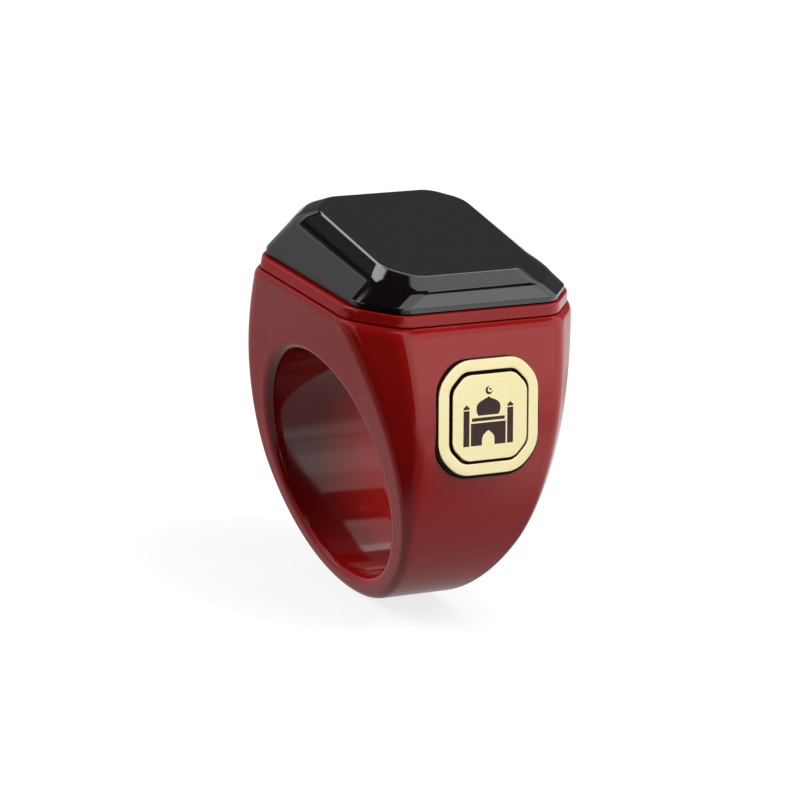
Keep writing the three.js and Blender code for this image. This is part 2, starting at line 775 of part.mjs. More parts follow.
const motorX = chamberHalfWidth - motorWallGap - motorRadius;
const motorCornerReach = (motorRadius + motorCornerGap) * Math.SQRT2;
const motorY = motorCornerReach + motorX + lowerChamberCut - chamberHalfWidth - chamberHalfDepth;
const batteryLeft = -chamberHalfWidth + batteryWallGap;
const batteryWidth = motorX - motorRadius - batteryMotorGap - batteryLeft;
const batteryDepth = 2 * (chamberHalfDepth - batteryEndGap);
const batteryX = batteryLeft + batteryWidth / 2;
const chargePadEdge = chargePadWidth / 2 + chargePadFlangeWidth;
const batteryPadWidth = -chargePadEdge - slipGap - batteryLeft;
const batteryGeometry = block(batteryWidth, batteryDepth, batteryBottom, batteryTop, batteryX);
addPiece(ring, 'battery_pouch', batteryGeometry, pouchSilver);
const batteryPadGeometry = block(
  batteryPadWidth, batteryDepth - 2 * seatGap, chamberFloor, batteryBottom, batteryLeft + batteryPadWidth / 2,
);
addPiece(ring, 'battery_pad', batteryPadGeometry, foam);
for (const [name, side] of [['battery_tab_front', -1], ['battery_tab_rear', 1]]) {
  const x = batteryLeft + batteryWidth - batteryTabWidth;
  const y = side * batteryTabPitch / 2;
  addPiece(ring, name, block(batteryTabWidth, batteryTabWidth, batteryTop, boardBottom, x, y), steel);
}

const motorGeometry = upright(
  motorRadius, chamberFloor, chamberFloor + motorHeight, 32, motorX, motorY,
);
addPiece(ring, 'vibration_motor', motorGeometry, steel);

// Charge contacts in their insulator, let into the bore roof from the chamber

const padTop = chamberFloor + chargePadFlange;
const contactPlaces = [-contactPitch / 2, contactPitch / 2];
const padBody = loft(insetOutlines(
  chargePadEdge, chargePadDepth / 2 + chargePadFlangeWidth, chargePadCornerCut, edgeBreak,
  [
    [chargePadFlangeWidth, boreRadius],
    [chargePadFlangeWidth, chamberFloor],
    [0, chamberFloor],
    [0, padTop],
  ],
));
const contactHoles = contactPlaces.map(
  (y) => upright(contactRadius + contactGap, boreRadius - 1, padTop + 1, 24, 0, y),
);
addPiece(ring, 'charge_pad', cutAway(padBody, contactHoles), darkPlastic);
contactPlaces.forEach((y, i) => {
  const geometry = upright(contactRadius, boreRadius - contactProud, padTop, 24, 0, y);
  addPiece(ring, `charge_contact_${i + 1}`, geometry, gold);
});

const chargeFlexHeight = padTop + contactGap + flexThickness / 2;
const chargeFlexRise = batteryLeft + batteryWidth + seatGap + flexThickness;
const chargeFlexPath = new THREE.Path();
chargeFlexPath.moveTo(-contactPitch / 2, chargeFlexHeight);
chargeFlexPath.lineTo(chargeFlexRise - seatGap, chargeFlexHeight);
chargeFlexPath.quadraticCurveTo(
  chargeFlexRise, chargeFlexHeight, chargeFlexRise, chargeFlexHeight + seatGap,
);
chargeFlexPath.lineTo(chargeFlexRise, boardBottom - contactGap);
addPiece(ring, 'charge_flex', flatCable(chargeFlexPath, chargeFlexWidth), flexAmber);

// Bezel and button cap

const bezelOuterSection = [
  [0, -bezelThickness],
  [0, -edgeBreak],
  [edgeBreak, 0],
];
const bezelInnerSection = [
  [bezelBorder - edgeBreak, 0],
  [bezelBorder, -edgeBreak],
  [bezelBorder, -bezelLipThickness],
  [bezelSkirtThickness, -bezelLipThickness],
  [bezelSkirtThickness, -bezelThickness],
];
const bezelGeometry = loft([
  ...insetOutlines(bezelHalfWidth, bezelHalfHeight, bezelCornerCut, bezelSoftening, bezelOuterSection),
  ...insetOutlines(bezelHalfWidth, bezelHalfHeight, bezelCornerCut, capSoftening, bezelInnerSection),
], true);
addPiece(buttonGroup, 'button_bezel', bezelGeometry, gold);

const capInset = bezelBorder + capGap;
const flangeInset = capInset - buttonFlangeWidth;
const capSection = [
  [flangeInset, -buttonBack],
  [flangeInset, -buttonFlangeTop],
  [capInset, -buttonFlangeTop],
  [capInset, -buttonRecess - edgeBreak],
  [capInset + edgeBreak, -buttonRecess],
];
const capGeometry = loft(
  insetOutlines(bezelHalfWidth, bezelHalfHeight, capCornerCut, capSoftening, capSection),
);
addPiece(buttonGroup, 'button_cap', capGeometry, gold);

// Plunger, seal, switch and its board behind the cap

addPiece(buttonGroup, 'button_plunger', upright(plungerRadius, -plungerTip, -plungerTop, 24), darkPlastic);

const sealShape = new THREE.Shape();
const sealHalfWidth = switchPocketHalfWidth - seatGap;
sealShape.moveTo(-sealHalfWidth, -sealHalfWidth);
sealShape.lineTo(sealHalfWidth, -sealHalfWidth);
sealShape.lineTo(sealHalfWidth, sealHalfWidth);
sealShape.lineTo(-sealHalfWidth, sealHalfWidth);
const sealHole = new THREE.Path();
sealHole.absarc(0, 0, plungerRadius + seatGap, 0, 2 * Math.PI, true);
sealShape.holes.push(sealHole);
const sealGeometry = new THREE.ExtrudeGeometry(sealShape, { depth: sealThickness, bevelEnabled: false });
addPiece(buttonGroup, 'button_seal', sealGeometry.translate(0, 0, -sealTop - sealThickness), rubber);

addPiece(buttonGroup, 'switch_dome', upright(domeRadius, -domeBase, -domeTop, 24), steel);
addPiece(buttonGroup, 'switch_body', block(switchWidth, switchHeight, -switchBack, -switchTop), chipBlack);
const switchBoardGeometry = block(
  2 * switchBoardHalfWidth, 2 * switchBoardHalfWidth, -switchBoardBack, -switchBoardTop,
);
addPiece(buttonGroup, 'switch_board', switchBoardGeometry, boardGreen);

const switchFlexPath = new THREE.Path();
switchFlexPath.moveTo(switchBoardEdge.x, switchBoardEdge.z + contactGap);
switchFlexPath.quadraticCurveTo(
  switchBoardEdge.x, switchFlexHeight, (switchBoardEdge.x + switchFlexDrop) / 2, switchFlexHeight,
);
switchFlexPath.quadraticCurveTo(
  switchFlexDrop, switchFlexHeight, switchFlexDrop, switchFlexHeight + flexChannelHeight,
);
switchFlexPath.lineTo(switchFlexDrop, boardBottom - contactGap);
addPiece(ring, 'switch_flex', flatCable(switchFlexPath, switchFlexWidth), flexAmber);

export default ring;
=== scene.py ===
# Smart counter ring: fine surfaces, finishes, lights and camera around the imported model
import json
import math
import bmesh
import bpy
from mathutils import Matrix, Vector


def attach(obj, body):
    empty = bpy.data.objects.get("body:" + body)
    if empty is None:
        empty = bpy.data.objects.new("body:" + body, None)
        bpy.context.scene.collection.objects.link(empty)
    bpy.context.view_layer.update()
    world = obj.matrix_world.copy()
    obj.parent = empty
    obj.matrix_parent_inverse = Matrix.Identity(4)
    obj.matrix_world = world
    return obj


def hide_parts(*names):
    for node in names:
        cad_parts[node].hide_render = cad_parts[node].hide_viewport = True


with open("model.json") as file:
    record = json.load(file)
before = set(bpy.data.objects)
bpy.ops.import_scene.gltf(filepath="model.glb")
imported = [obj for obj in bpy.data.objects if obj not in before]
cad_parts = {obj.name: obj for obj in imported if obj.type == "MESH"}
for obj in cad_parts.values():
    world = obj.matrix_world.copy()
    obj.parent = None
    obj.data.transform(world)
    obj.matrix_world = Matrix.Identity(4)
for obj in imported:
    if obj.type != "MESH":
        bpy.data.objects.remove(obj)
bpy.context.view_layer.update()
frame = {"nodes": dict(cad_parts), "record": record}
print("frame loaded:", len(frame["nodes"]), "nodes")

mm = 0.001
halfTurn = math.pi
cutShrink = 2 - math.sqrt(2)  # how much shorter a cut corner gets per millimetre moved inwards
weldDistance = {"loft": 1e-7, "body": 1e-6}


# Small geometry helpers, all in millimetres

def lerp(a, b, t):
    return a + (b - a) * t


def clamp(value, low, high):
    return max(low, min(high, value))


def bezierPoint(handles, t):
    a, b, c, d = handles
    r = 1 - t
    return a * r ** 3 + b * (3 * t * r * r) + c * (3 * t * t * r) + d * t ** 3


def bezierDirection(handles, t):
    a, b, c, d = handles
    r = 1 - t
    slope = (b - a) * (3 * r * r) + (c - b) * (6 * t * r) + (d - c) * (3 * t * t)
    return slope.normalized()


def quadratic(a, b, c, t):
    return a * (1 - t) ** 2 + b * (2 * t * (1 - t)) + c * t * t


def mixShapes(a, b, t):
    return {key: lerp(a[key], b[key], t) for key in a}


def makeObject(name, bm, outward=True):
    if outward:
        bmesh.ops.recalc_face_normals(bm, faces=bm.faces)
    mesh = bpy.data.meshes.new(name)
    bm.to_mesh(mesh)
    bm.free()
    obj = bpy.data.objects.new(name, mesh)
    bpy.context.scene.collection.objects.link(obj)
    return obj


def finishShading(obj, sharpDegrees=32, weighted=True):
    obj.data.shade_smooth()
    obj.data.set_sharp_from_angle(angle=math.radians(sharpDegrees))
    if weighted:
        modifier = obj.modifiers.new("flatFaces", "WEIGHTED_NORMAL")
        modifier.keep_sharp = True
        modifier.weight = 80


# rows of points, joined by quads
def addGrid(bm, rows, closed=False):
    layers = [[bm.verts.new(Vector(point) * mm) for point in row] for row in rows]
    count = len(rows[0])
    for low, high in zip(layers, layers[1:]):
        for i in range(count if closed else count - 1):
            j = (i + 1) % count
            bm.faces.new((low[i], low[j], high[j], high[i]))
    return layers


# closed outlines stacked into one closed skin, with caps or joined into a ring
def loftLoops(name, loops, ring=False):
    bm = bmesh.new()
    layers = addGrid(bm, loops + loops[:1] if ring else loops, closed=True)
    if not ring:
        bm.faces.new(layers[0])
        bm.faces.new(layers[-1])
    bmesh.ops.remove_doubles(bm, verts=bm.verts, dist=weldDistance["loft"])
    return makeObject(name, bm)


# Outlines with cut corners

cornerSteps = 8  # faces round each softened corner
sectionSteps = 5  # faces over each rounded edge of a section


def cutCornerOutline(left, right, half, cut, softening, height, slope=0.0, steps=cornerSteps):
    corners = [Vector(p) for p in (
        (right, cut - half), (right, half - cut), (right - cut, half), (cut - left, half),
        (-left, half - cut), (-left, cut - half), (cut - left, -half), (right - cut, -half),
    )]
    points = []
    for i, corner in enumerate(corners):
        start = corner + (corners[i - 1] - corner).normalized() * softening
        end = corner + (corners[(i + 1) % 8] - corner).normalized() * softening
        for k in range(steps + 1):
            x, y = quadratic(start, corner, end, k / steps)
            points.append((x, y, height - slope * x))
    return points


def insetOutlines(shape, section):
    return [cutCornerOutline(
        shape["halfWidth"] - inset, shape["halfWidth"] - inset, shape["halfDepth"] - inset,
        shape["cut"] - inset * cutShrink, shape["softening"], height,
    ) for inset, height in section]


def shiftLoops(loops, shiftX, shiftY=0.0):
    return [[(x + shiftX, y + shiftY, z) for x, y, z in loop] for loop in loops]


# rounds the numbered corners of a section drawn as (inset, height) pairs
def roundSection(section, radii):
    rounded = []
    for i, point in enumerate(section):
        corner = Vector(point)
        if i not in radii:
            rounded.append(tuple(corner))
            continue
        before = Vector(section[i - 1])
        after = Vector(section[(i + 1) % len(section)])
        start = corner + (before - corner).normalized() * radii[i]
        end = corner + (after - corner).normalized() * radii[i]
        rounded += [tuple(quadratic(start, corner, end, k / sectionSteps))
                    for k in range(sectionSteps + 1)]
    return rounded


# The ring body

body = {
    "boreRadius": 10.0,
    "boreLip": 0.8,
    "bottom": -11.93,
    "widestHalfWidth": 13.88,
    "widestHeight": 5.2,
    "lowerHandles": (0.6, 0.56),
    "upperHandles": (0.34, 0.565, 0.69),
    "shoulderHalfWidth": 11.15,
    "shoulderHeight": 15.7,
    "shoulderRoundWidth": 0.27,
    "shoulderRoundHeight": 0.8,
    "bandHalfDepth": 3.57,
    "shoulderHalfDepth": 11.5,
    "depthShares": (0, 0.375, 0.59, 1),
    "cornerStart": -3.86,
    "cornerGrowth": 1.33,
    "bandCut": 0.4,
    "bandSoftening": 0.28,
    "headCut": 3.58,
    "headSoftening": 1.2,
    "boreMargin": 0.3,
}
bodyGrid = {
    "sideSamples": 300, "lowerRows": 96, "upperRows": 46, "shoulderRows": 10, "across": 36,
    "frontColumns": 48, "cornerSteps": 6, "chamferSteps": 4, "frontRows": 12, "lipRows": 8,
    "boreRows": 24,
}

widestX, widestZ = body["widestHalfWidth"], body["widestHeight"]
shoulderX, shoulderZ = body["shoulderHalfWidth"], body["shoulderHeight"]
lowerOut, lowerUp = body["lowerHandles"]
upperFirstUp, upperOut, upperUp = body["upperHandles"]
lowerSide = [Vector(p) for p in (
    (0, body["bottom"]),
    (lowerOut * widestX, body["bottom"]),
    (widestX, lerp(widestZ, body["bottom"], lowerUp)),
    (widestX, widestZ),
)]
upperSide = [Vector(p) for p in (
    (widestX, widestZ),
    (widestX, lerp(widestZ, shoulderZ, upperFirstUp)),
    (lerp(shoulderX, widestX, upperOut), lerp(widestZ, shoulderZ, upperUp)),
    (shoulderX, shoulderZ),
)]
sampleCount = bodyGrid["sideSamples"]
sideSamples = [bezierPoint(lowerSide, i / sampleCount) for i in range(sampleCount + 1)]
sideSamples += [bezierPoint(upperSide, i / sampleCount) for i in range(1, sampleCount + 1)]


def sideHalfWidthAt(z):
    for below, above in zip(sideSamples, sideSamples[1:]):
        if above.y >= z:
            return lerp(below.x, above.x, (z - below.y) / (above.y - below.y))
    return sideSamples[-1].x


def halfDepthAt(z):
    s = (z - body["bottom"]) / (body["shoulderHeight"] - body["bottom"])
    depths = [Vector((lerp(body["bandHalfDepth"], body["shoulderHalfDepth"], share), 0))
              for share in body["depthShares"]]
    return bezierPoint(depths, s).x


# the corner as (distance in from the side, loss of depth), from the front face to the side
def cornerPath(z):
    start = body["cornerStart"]
    share = clamp((z - start) / (body["shoulderHeight"] - start), 0, 1) ** body["cornerGrowth"]
    cut = lerp(body["bandCut"], body["headCut"], share)
    softening = lerp(body["bandSoftening"], body["headSoftening"], share)
    slanted = softening * math.sqrt(0.5)
    ends = Vector((cut + softening, 0)), Vector((cut, 0)), Vector((cut - slanted, slanted))
    steps, chamferSteps = bodyGrid["cornerSteps"], bodyGrid["chamferSteps"]
    nearFront = [quadratic(*ends, k / steps) for k in range(steps + 1)]
    nearSide = [Vector((p.y, p.x)) for p in reversed(nearFront)]
    between = [nearFront[-1].lerp(nearSide[0], k / chamferSteps) for k in range(1, chamferSteps)]
    return nearFront + between + nearSide


# one line over the +X side, from the rear face's edge round to the front face's edge
def bodyRib(outer, inward, inset=0.0):
    rear = []
    for distance, loss in cornerPath(outer.y):
        point = outer + inward * (distance + inset)
        rear.append((point.x, halfDepthAt(point.y) - inset - loss, point.y))
    x, y, z = rear[-1]
    across = [(x, lerp(y, -y, k / bodyGrid["across"]), z) for k in range(1, bodyGrid["across"])]
    front = [(px, -py, pz) for px, py, pz in reversed(rear)]
    return rear + across + front


def bodyRibs():
    ribs = []
    for i in range(bodyGrid["lowerRows"] + 1):
        t = i / bodyGrid["lowerRows"]
        direction = bezierDirection(lowerSide, t)
        ribs.append(bodyRib(bezierPoint(lowerSide, t), Vector((-direction.y, direction.x))))
    roundStart = body["shoulderHeight"] - body["shoulderRoundHeight"]
    for i in range(1, bodyGrid["upperRows"] + 1):
        z = lerp(body["widestHeight"], roundStart, i / bodyGrid["upperRows"])
        ribs.append(bodyRib(Vector((sideHalfWidthAt(z), z)), Vector((-1, 0))))
    for i in range(1, bodyGrid["shoulderRows"] + 1):
        angle = halfTurn / 2 * i / bodyGrid["shoulderRows"]
        z = body["shoulderHeight"] - body["shoulderRoundHeight"] * (1 - math.sin(angle))
        inset = body["shoulderRoundWidth"] * (1 - math.cos(angle))
        ribs.append(bodyRib(Vector((sideHalfWidthAt(z), z)), Vector((-1, 0)), inset))
    return ribs


def mirrorX(points):
    return [(-x, y, z) for x, y, z in points]


def mirrorY(points):
    return [(x, -y, z) for x, y, z in points]


# a level line over the front face, from its +X edge to its -X edge
def frontLine(edge):
    x, y, z = edge
    columns = bodyGrid["frontColumns"]
    return [(lerp(x, -x, k / columns), y, z) for k in range(columns + 1)]


def lipPoint(angle, radius, below):
    z = radius * math.sin(angle)
    return (radius * math.cos(angle), below - halfDepthAt(z), z)


# above the bore the front face has level rows; below that, rows that run round the bore
def makeRingBody():
    bm = bmesh.new()
    ribs = bodyRibs()
    addGrid(bm, ribs)
    addGrid(bm, [mirrorX(rib) for rib in ribs])
    edges = [rib[-1] for rib in ribs]
    lipRadius = body["boreRadius"] + body["boreLip"]
    split = next(i for i, (x, y, z) in enumerate(edges) if z > lipRadius + body["boreMargin"])
    upper = [frontLine(edge) for edge in edges[split:]]
    around = edges[:split] + upper[0] + mirrorX(edges[1:split])[::-1]
    around.append(around[0])
    angles = [math.atan2(z, x) for x, y, z in around]
    face = []
    for row in range(bodyGrid["frontRows"] + 1):
        share = row / bodyGrid["frontRows"]
        line = []
        for (x, y, z), angle in zip(around, angles):
            px = lerp(x, lipRadius * math.cos(angle), share)
            pz = lerp(z, lipRadius * math.sin(angle), share)
            line.append((px, -halfDepthAt(pz), pz))
        face.append(line)
    lip = []
    for row in range(bodyGrid["lipRows"] + 1):
        angle = halfTurn / 2 * (1 - row / bodyGrid["lipRows"])
        radius = body["boreRadius"] + body["boreLip"] * (1 - math.cos(angle))
        below = body["boreLip"] * (1 - math.sin(angle))
        lip.append([lipPoint(a, radius, below) for a in angles])
    wall = []
    for row in range(bodyGrid["boreRows"] + 1):
        share = row / bodyGrid["boreRows"]
        wall.append([(x, lerp(y, -y, share), z) for x, y, z in lip[-1]])
    for rows in (upper, face, lip):
        addGrid(bm, rows)
        addGrid(bm, [mirrorY(row) for row in rows])
    addGrid(bm, wall)
    topEdge = frontLine(ribs[-1][0])[1:-1]
    top = ribs[-1][::-1] + topEdge + mirrorX(ribs[-1]) + mirrorY(topEdge)[::-1]
    bm.faces.new([bm.verts.new(Vector(point) * mm) for point in top])
    bmesh.ops.remove_doubles(bm, verts=bm.verts, dist=weldDistance["body"])
    return makeObject("ringBody", bm)


ringBody = makeRingBody()
print("ring body made:", len(ringBody.data.polygons), "faces")

# What is cut out of the body

head = {
    "rimSeat": 16.1, "rimTop": 16.78, "windowBottom": 16.3, "grooveTop": 15.84,
    "chamberFloor": 11.2, "boardBottom": 14.4, "boardTop": 15.2,
    "chamberHalfWidth": 8.65, "chamberHalfDepth": 8.5, "chamberCut": 1.758,
    "lowerCut": 3.455, "softening": 0.3,
    "mouthHalfWidth": 9.85, "mouthHalfDepth": 9.7, "mouthCut": 2.461, "mouthFloor": 14.75,
    "padHoleHalfWidth": 2.35, "padHoleHalfDepth": 2.95, "padHoleCut": 0.2,
    "padHoleSoftening": 0.05, "padHoleLow": 8.8, "padHoleHigh": 11.8,
    "cutterOver": 1.0,
}
button = {
    "height": 8.37, "lean": 10.0, "proud": 0.03,
    "halfWidth": 4.96, "halfDepth": 4.93, "cut": 1.95, "softening": 1.2,
    "border": 1.0, "thickness": 1.25, "lipThickness": 0.55, "skirt": 0.45,
    "outerLand": 0.4, "innerLand": 0.3,
    "slip": 0.15, "capGap": 0.25, "capCut": 2.0, "capSoftening": 0.6, "capSettle": (0.16, -0.05),
    "recess": 0.03, "gapShow": 0.06, "edgeBreak": 0.08, "holeShift": 0.04, "holeTrim": 0.05,
    "pocketDepth": 1.6, "pocketOver": 3.9, "pocketSettle": (-0.07, -0.12),
    "flangeTop": 0.85, "back": 1.15, "flangeInset": 0.75,
    "switchPocketHalf": 3.2, "switchPocketDepth": 4.15, "switchPocketCut": 0.5,
    "switchPocketSoftening": 0.12,
}
lean = math.radians(button["lean"])
buttonOut = sideHalfWidthAt(button["height"]) + button["proud"]
buttonPlace = Matrix((
    (0, -math.sin(lean), math.cos(lean), buttonOut * mm),
    (1, 0, 0, 0),
    (0, math.cos(lean), math.sin(lean), button["height"] * mm),
    (0, 0, 0, 1),
))


def settleBy(shift):
    return Matrix.Translation(Vector((*shift, 0)) * mm)


def prism(name, halfWidth, halfDepth, cut, softening, low, high):
    return loftLoops(name, [
        cutCornerOutline(halfWidth, halfWidth, halfDepth, cut, softening, z, steps=4)
        for z in (low, high)])


# takes the cutters out of the target for good, then deletes them
def cutOut(target, cutters):
    for cutter in cutters:
        modifier = target.modifiers.new("cut", "BOOLEAN")
        modifier.operation = "DIFFERENCE"
        modifier.solver = "EXACT"
        modifier.object = cutter
    bpy.context.view_layer.update()
    result = bpy.data.meshes.new_from_object(
        target.evaluated_get(bpy.context.evaluated_depsgraph_get()))
    target.modifiers.clear()
    target.data = result
    for cutter in cutters:
        bpy.data.objects.remove(cutter)


cutterTop = body["shoulderHeight"] + head["cutterOver"]
cutters = [
    prism("lowerChamber", head["chamberHalfWidth"], head["chamberHalfDepth"], head["lowerCut"],
          head["softening"], head["chamberFloor"], head["boardTop"]),
    prism("upperChamber", head["chamberHalfWidth"], head["chamberHalfDepth"], head["chamberCut"],
          head["softening"], head["boardBottom"], cutterTop),
    prism("mouth", head["mouthHalfWidth"], head["mouthHalfDepth"], head["mouthCut"],
          head["softening"], head["mouthFloor"], cutterTop),
    prism("padHole", head["padHoleHalfWidth"], head["padHoleHalfDepth"], head["padHoleCut"],
          head["padHoleSoftening"], head["padHoleLow"], head["padHoleHigh"]),
]
slip = button["slip"]
buttonCutters = [
    prism("bezelPocket", button["halfWidth"] + slip, button["halfDepth"] + slip,
          button["cut"] + slip * cutShrink, button["softening"], -button["pocketDepth"],
          button["pocketOver"]),
    prism("switchPocket", button["switchPocketHalf"], button["switchPocketHalf"],
          button["switchPocketCut"], button["switchPocketSoftening"],
          -button["switchPocketDepth"], -button["back"]),
]
# the bezel sits high and right in its pocket
buttonCutters[0].data.transform(settleBy(button["pocketSettle"]))
for cutter in buttonCutters:
    cutter.data.transform(buttonPlace)
cutOut(ringBody, cutters + buttonCutters)
finishShading(ringBody, sharpDegrees=30, weighted=False)
print("ring body cut:", len(ringBody.data.polygons), "faces")

# Rim frame

rim = {
    "halfWidth": 10.93, "halfDepth": 11.13, "cut": 3.5, "softening": 1.2,
    "lean": 0.08, "land": 0.3, "edgeRound": 0.14, "footRound": 0.05, "grooveDepth": 0.5,
    "lipDepth": 0.8, "lipThickness": 0.6,
}
foot = {
    "halfWidth": 10.6, "halfDepth": 10.45, "cut": 2.9, "softening": 0.9,
    "height": 16.9, "edge": 0.45, "neckInset": 0.3, "width": 1.5,
}
shoulder = body["shoulderHeight"]
lipBottom = shoulder - rim["lipDepth"]
neckHole = foot["neckInset"] - slip
lipEdge = foot["width"] - rim["lipThickness"]
rimOuter = [
    (rim["grooveDepth"], shoulder), (rim["grooveDepth"], head["grooveTop"]),
    (0, head["grooveTop"]), (rim["lean"], head["rimTop"]),
    (rim["lean"] + rim["land"], head["rimTop"]),
]
rimInner = [
    (neckHole, head["rimTop"]), (neckHole, head["rimSeat"]),
    (foot["width"], head["rimSeat"]), (foot["width"], lipBottom),
    (lipEdge, lipBottom), (lipEdge, shoulder),
]
rimRounds = {2: rim["footRound"], 3: rim["edgeRound"]}
rimFrame = loftLoops("rimFrame", insetOutlines(rim, roundSection(rimOuter, rimRounds))
                     + insetOutlines(foot, rimInner), ring=True)
finishShading(rimFrame)

# Window

window = {
    "topTilt": 8.65, "crestTilt": 6.8, "footRound": 0.05, "footEdgeRound": 0.1,
    "crestRound": 0.45, "topRound": 0.14, "crestRise": 2.43, "bevel": 1.3, "wall": 0.9,
    "thickness": 1.3, "steps": 6,
}
topSlope = math.tan(math.radians(window["topTilt"]))
crestSlope = math.tan(math.radians(window["crestTilt"]))
windowFoot = {
    "left": foot["halfWidth"], "right": foot["halfWidth"], "half": foot["halfDepth"],
    "cut": foot["cut"], "softening": foot["softening"], "height": foot["height"], "slope": 0.0,
}
windowFootTop = dict(windowFoot, height=foot["height"] + foot["edge"])
windowCrest = {
    "left": 8.83, "right": 10.25, "half": 8.61, "cut": 2.65, "softening": 1.1,
    "height": 19.78, "slope": crestSlope,
}
windowTop = {
    "left": 7.04, "right": 8.53, "half": 7.31, "cut": 2.2, "softening": 1.0,
    "height": 20.69, "slope": topSlope,
}


def insetShape(shape, inset, height, slope):
    smaller = dict(shape, height=height, slope=slope)
    for side in ("left", "right", "half"):
        smaller[side] -= inset
    smaller["cut"] -= inset * cutShrink
    return smaller


def roundedEdge(below, edge, over, shareBelow, shareOver):
    start = mixShapes(edge, below, shareBelow)
    end = mixShapes(edge, over, shareOver)
    shapes = []
    for k in range(window["steps"] + 1):
        t = k / window["steps"]
        shapes.append({key: quadratic(start[key], edge[key], end[key], t) for key in edge})
    return shapes


hollowTop = windowTop["height"] - window["thickness"]
windowNeck = insetShape(windowFoot, foot["neckInset"], foot["height"], 0)
windowFlat = insetShape(windowTop, window["topRound"], windowTop["height"], topSlope)
windowShapes = [
    insetShape(windowTop, window["wall"], hollowTop, topSlope),
    insetShape(windowFoot, foot["width"], head["windowBottom"], 0),
    dict(windowNeck, height=head["windowBottom"]),
    windowNeck,
]
for below, edge, over, shareBelow, shareOver in (
    (windowNeck, windowFoot, windowFootTop,
     window["footRound"] / foot["neckInset"], window["footRound"] / foot["edge"]),
    (windowFoot, windowFootTop, windowCrest,
     window["footEdgeRound"] / foot["edge"], window["footEdgeRound"] / window["crestRise"]),
    (windowFootTop, windowCrest, windowTop,
     window["crestRound"] / window["crestRise"], window["crestRound"] / window["bevel"]),
    (windowCrest, windowTop, windowFlat, window["topRound"] / window["bevel"], 1),
):
    windowShapes += roundedEdge(below, edge, over, shareBelow, shareOver)
displayWindow = loftLoops("displayWindow", [cutCornerOutline(**shape) for shape in windowShapes])
finishShading(displayWindow)
print("head made")

# Bezel and button cap

edgeBreak = button["edgeBreak"]
bezelOuter = [(0, -button["thickness"]), (0, 0), (button["outerLand"], 0)]
bezelInner = [
    (button["border"] - button["innerLand"], 0), (button["border"], 0),
    (button["border"], -button["lipThickness"]), (button["skirt"], -button["lipThickness"]),
    (button["skirt"], -button["thickness"]),
]
bezelHole = dict(button, softening=button["capSoftening"],
                 halfWidth=button["halfWidth"] - button["holeTrim"])
outerLoops = insetOutlines(button, roundSection(bezelOuter, {1: edgeBreak}))
holeLoops = insetOutlines(bezelHole, roundSection(bezelInner, {1: edgeBreak}))
bezel = loftLoops("bezel", outerLoops + shiftLoops(holeLoops, button["holeShift"]), ring=True)
capInset = button["border"] + button["capGap"]
capShape = dict(button, cut=button["capCut"], softening=button["capSoftening"])
capSection = [
    (button["flangeInset"], -button["back"]),
    (button["flangeInset"], -button["flangeTop"]),
    (capInset, -button["flangeTop"]),
    (capInset, -button["recess"]),
    (capInset + 2 * edgeBreak, -button["recess"]),
]
capLoops = insetOutlines(capShape, roundSection(capSection, {3: edgeBreak}))
buttonCap = loftLoops("buttonCap", capLoops)
capSettle = settleBy(button["capSettle"])  # the cap rests a little off the middle of its bezel
buttonCap.data.transform(capSettle)
for piece in (bezel, buttonCap):
    piece.data.transform(buttonPlace)
    finishShading(piece)

# painted shade: a black ring that fills the pocket round the bezel and stands in for the shadow in
# the gap there
shadeRing = {"depth": 0.12, "bottom": 1.2, "slack": 0.01}
shadeRingOutside = dict(button, halfWidth=button["halfWidth"] + slip - shadeRing["slack"],
                   halfDepth=button["halfDepth"] + slip - shadeRing["slack"],
                   cut=button["cut"] + slip * cutShrink)
shadeRingInside = dict(button, halfWidth=button["halfWidth"] + shadeRing["slack"],
                  halfDepth=button["halfDepth"] + shadeRing["slack"])
shadeRingRise = [(0, -shadeRing["bottom"]), (0, -shadeRing["depth"])]
shadeRingLoops = shiftLoops(insetOutlines(shadeRingOutside, shadeRingRise), *button["pocketSettle"])
shadeRingLoops += insetOutlines(shadeRingInside, shadeRingRise[::-1])
bezelShadeRing = loftLoops("bezelShadeRing", shadeRingLoops, ring=True)
bezelShadeRing.data.transform(buttonPlace)
finishShading(bezelShadeRing)

# Pictogram let into the cap: a generic domed building with a crescent

pictogram = {"sink": 0.04, "proud": 0.012, "shift": (-0.16, 0.07), "towerOffset": 2.17}


def arcPoints(centre, radius, fromDegrees, toDegrees, count):
    points = []
    for k in range(count + 1):
        angle = math.radians(lerp(fromDegrees, toDegrees, k / count))
        points.append((centre[0] + radius * math.cos(angle), centre[1] + radius * math.sin(angle)))
    return points


def mirrored(points):
    return points + [(-x, y) for x, y in reversed(points) if x]


def curvePoints(handles, count):
    return [tuple(bezierPoint([Vector(h) for h in handles], k / count)) for k in range(count + 1)]


# an open crescent whose gap faces the given way
def crescentOutline(centre, radius, hollow, offset, facing):
    outerCosine = (radius ** 2 + offset ** 2 - hollow ** 2) / (2 * radius * offset)
    innerCosine = (radius ** 2 - offset ** 2 - hollow ** 2) / (2 * hollow * offset)
    outerGap = math.degrees(math.acos(outerCosine))
    innerGap = math.degrees(math.acos(innerCosine))
    inner = (centre[0] + offset * math.cos(math.radians(facing)),
             centre[1] + offset * math.sin(math.radians(facing)))
    outline = arcPoints(centre, radius, facing + outerGap, facing + 360 - outerGap, 22)
    return outline + arcPoints(inner, hollow, facing + 360 - innerGap, facing + innerGap, 16)[1:-1]


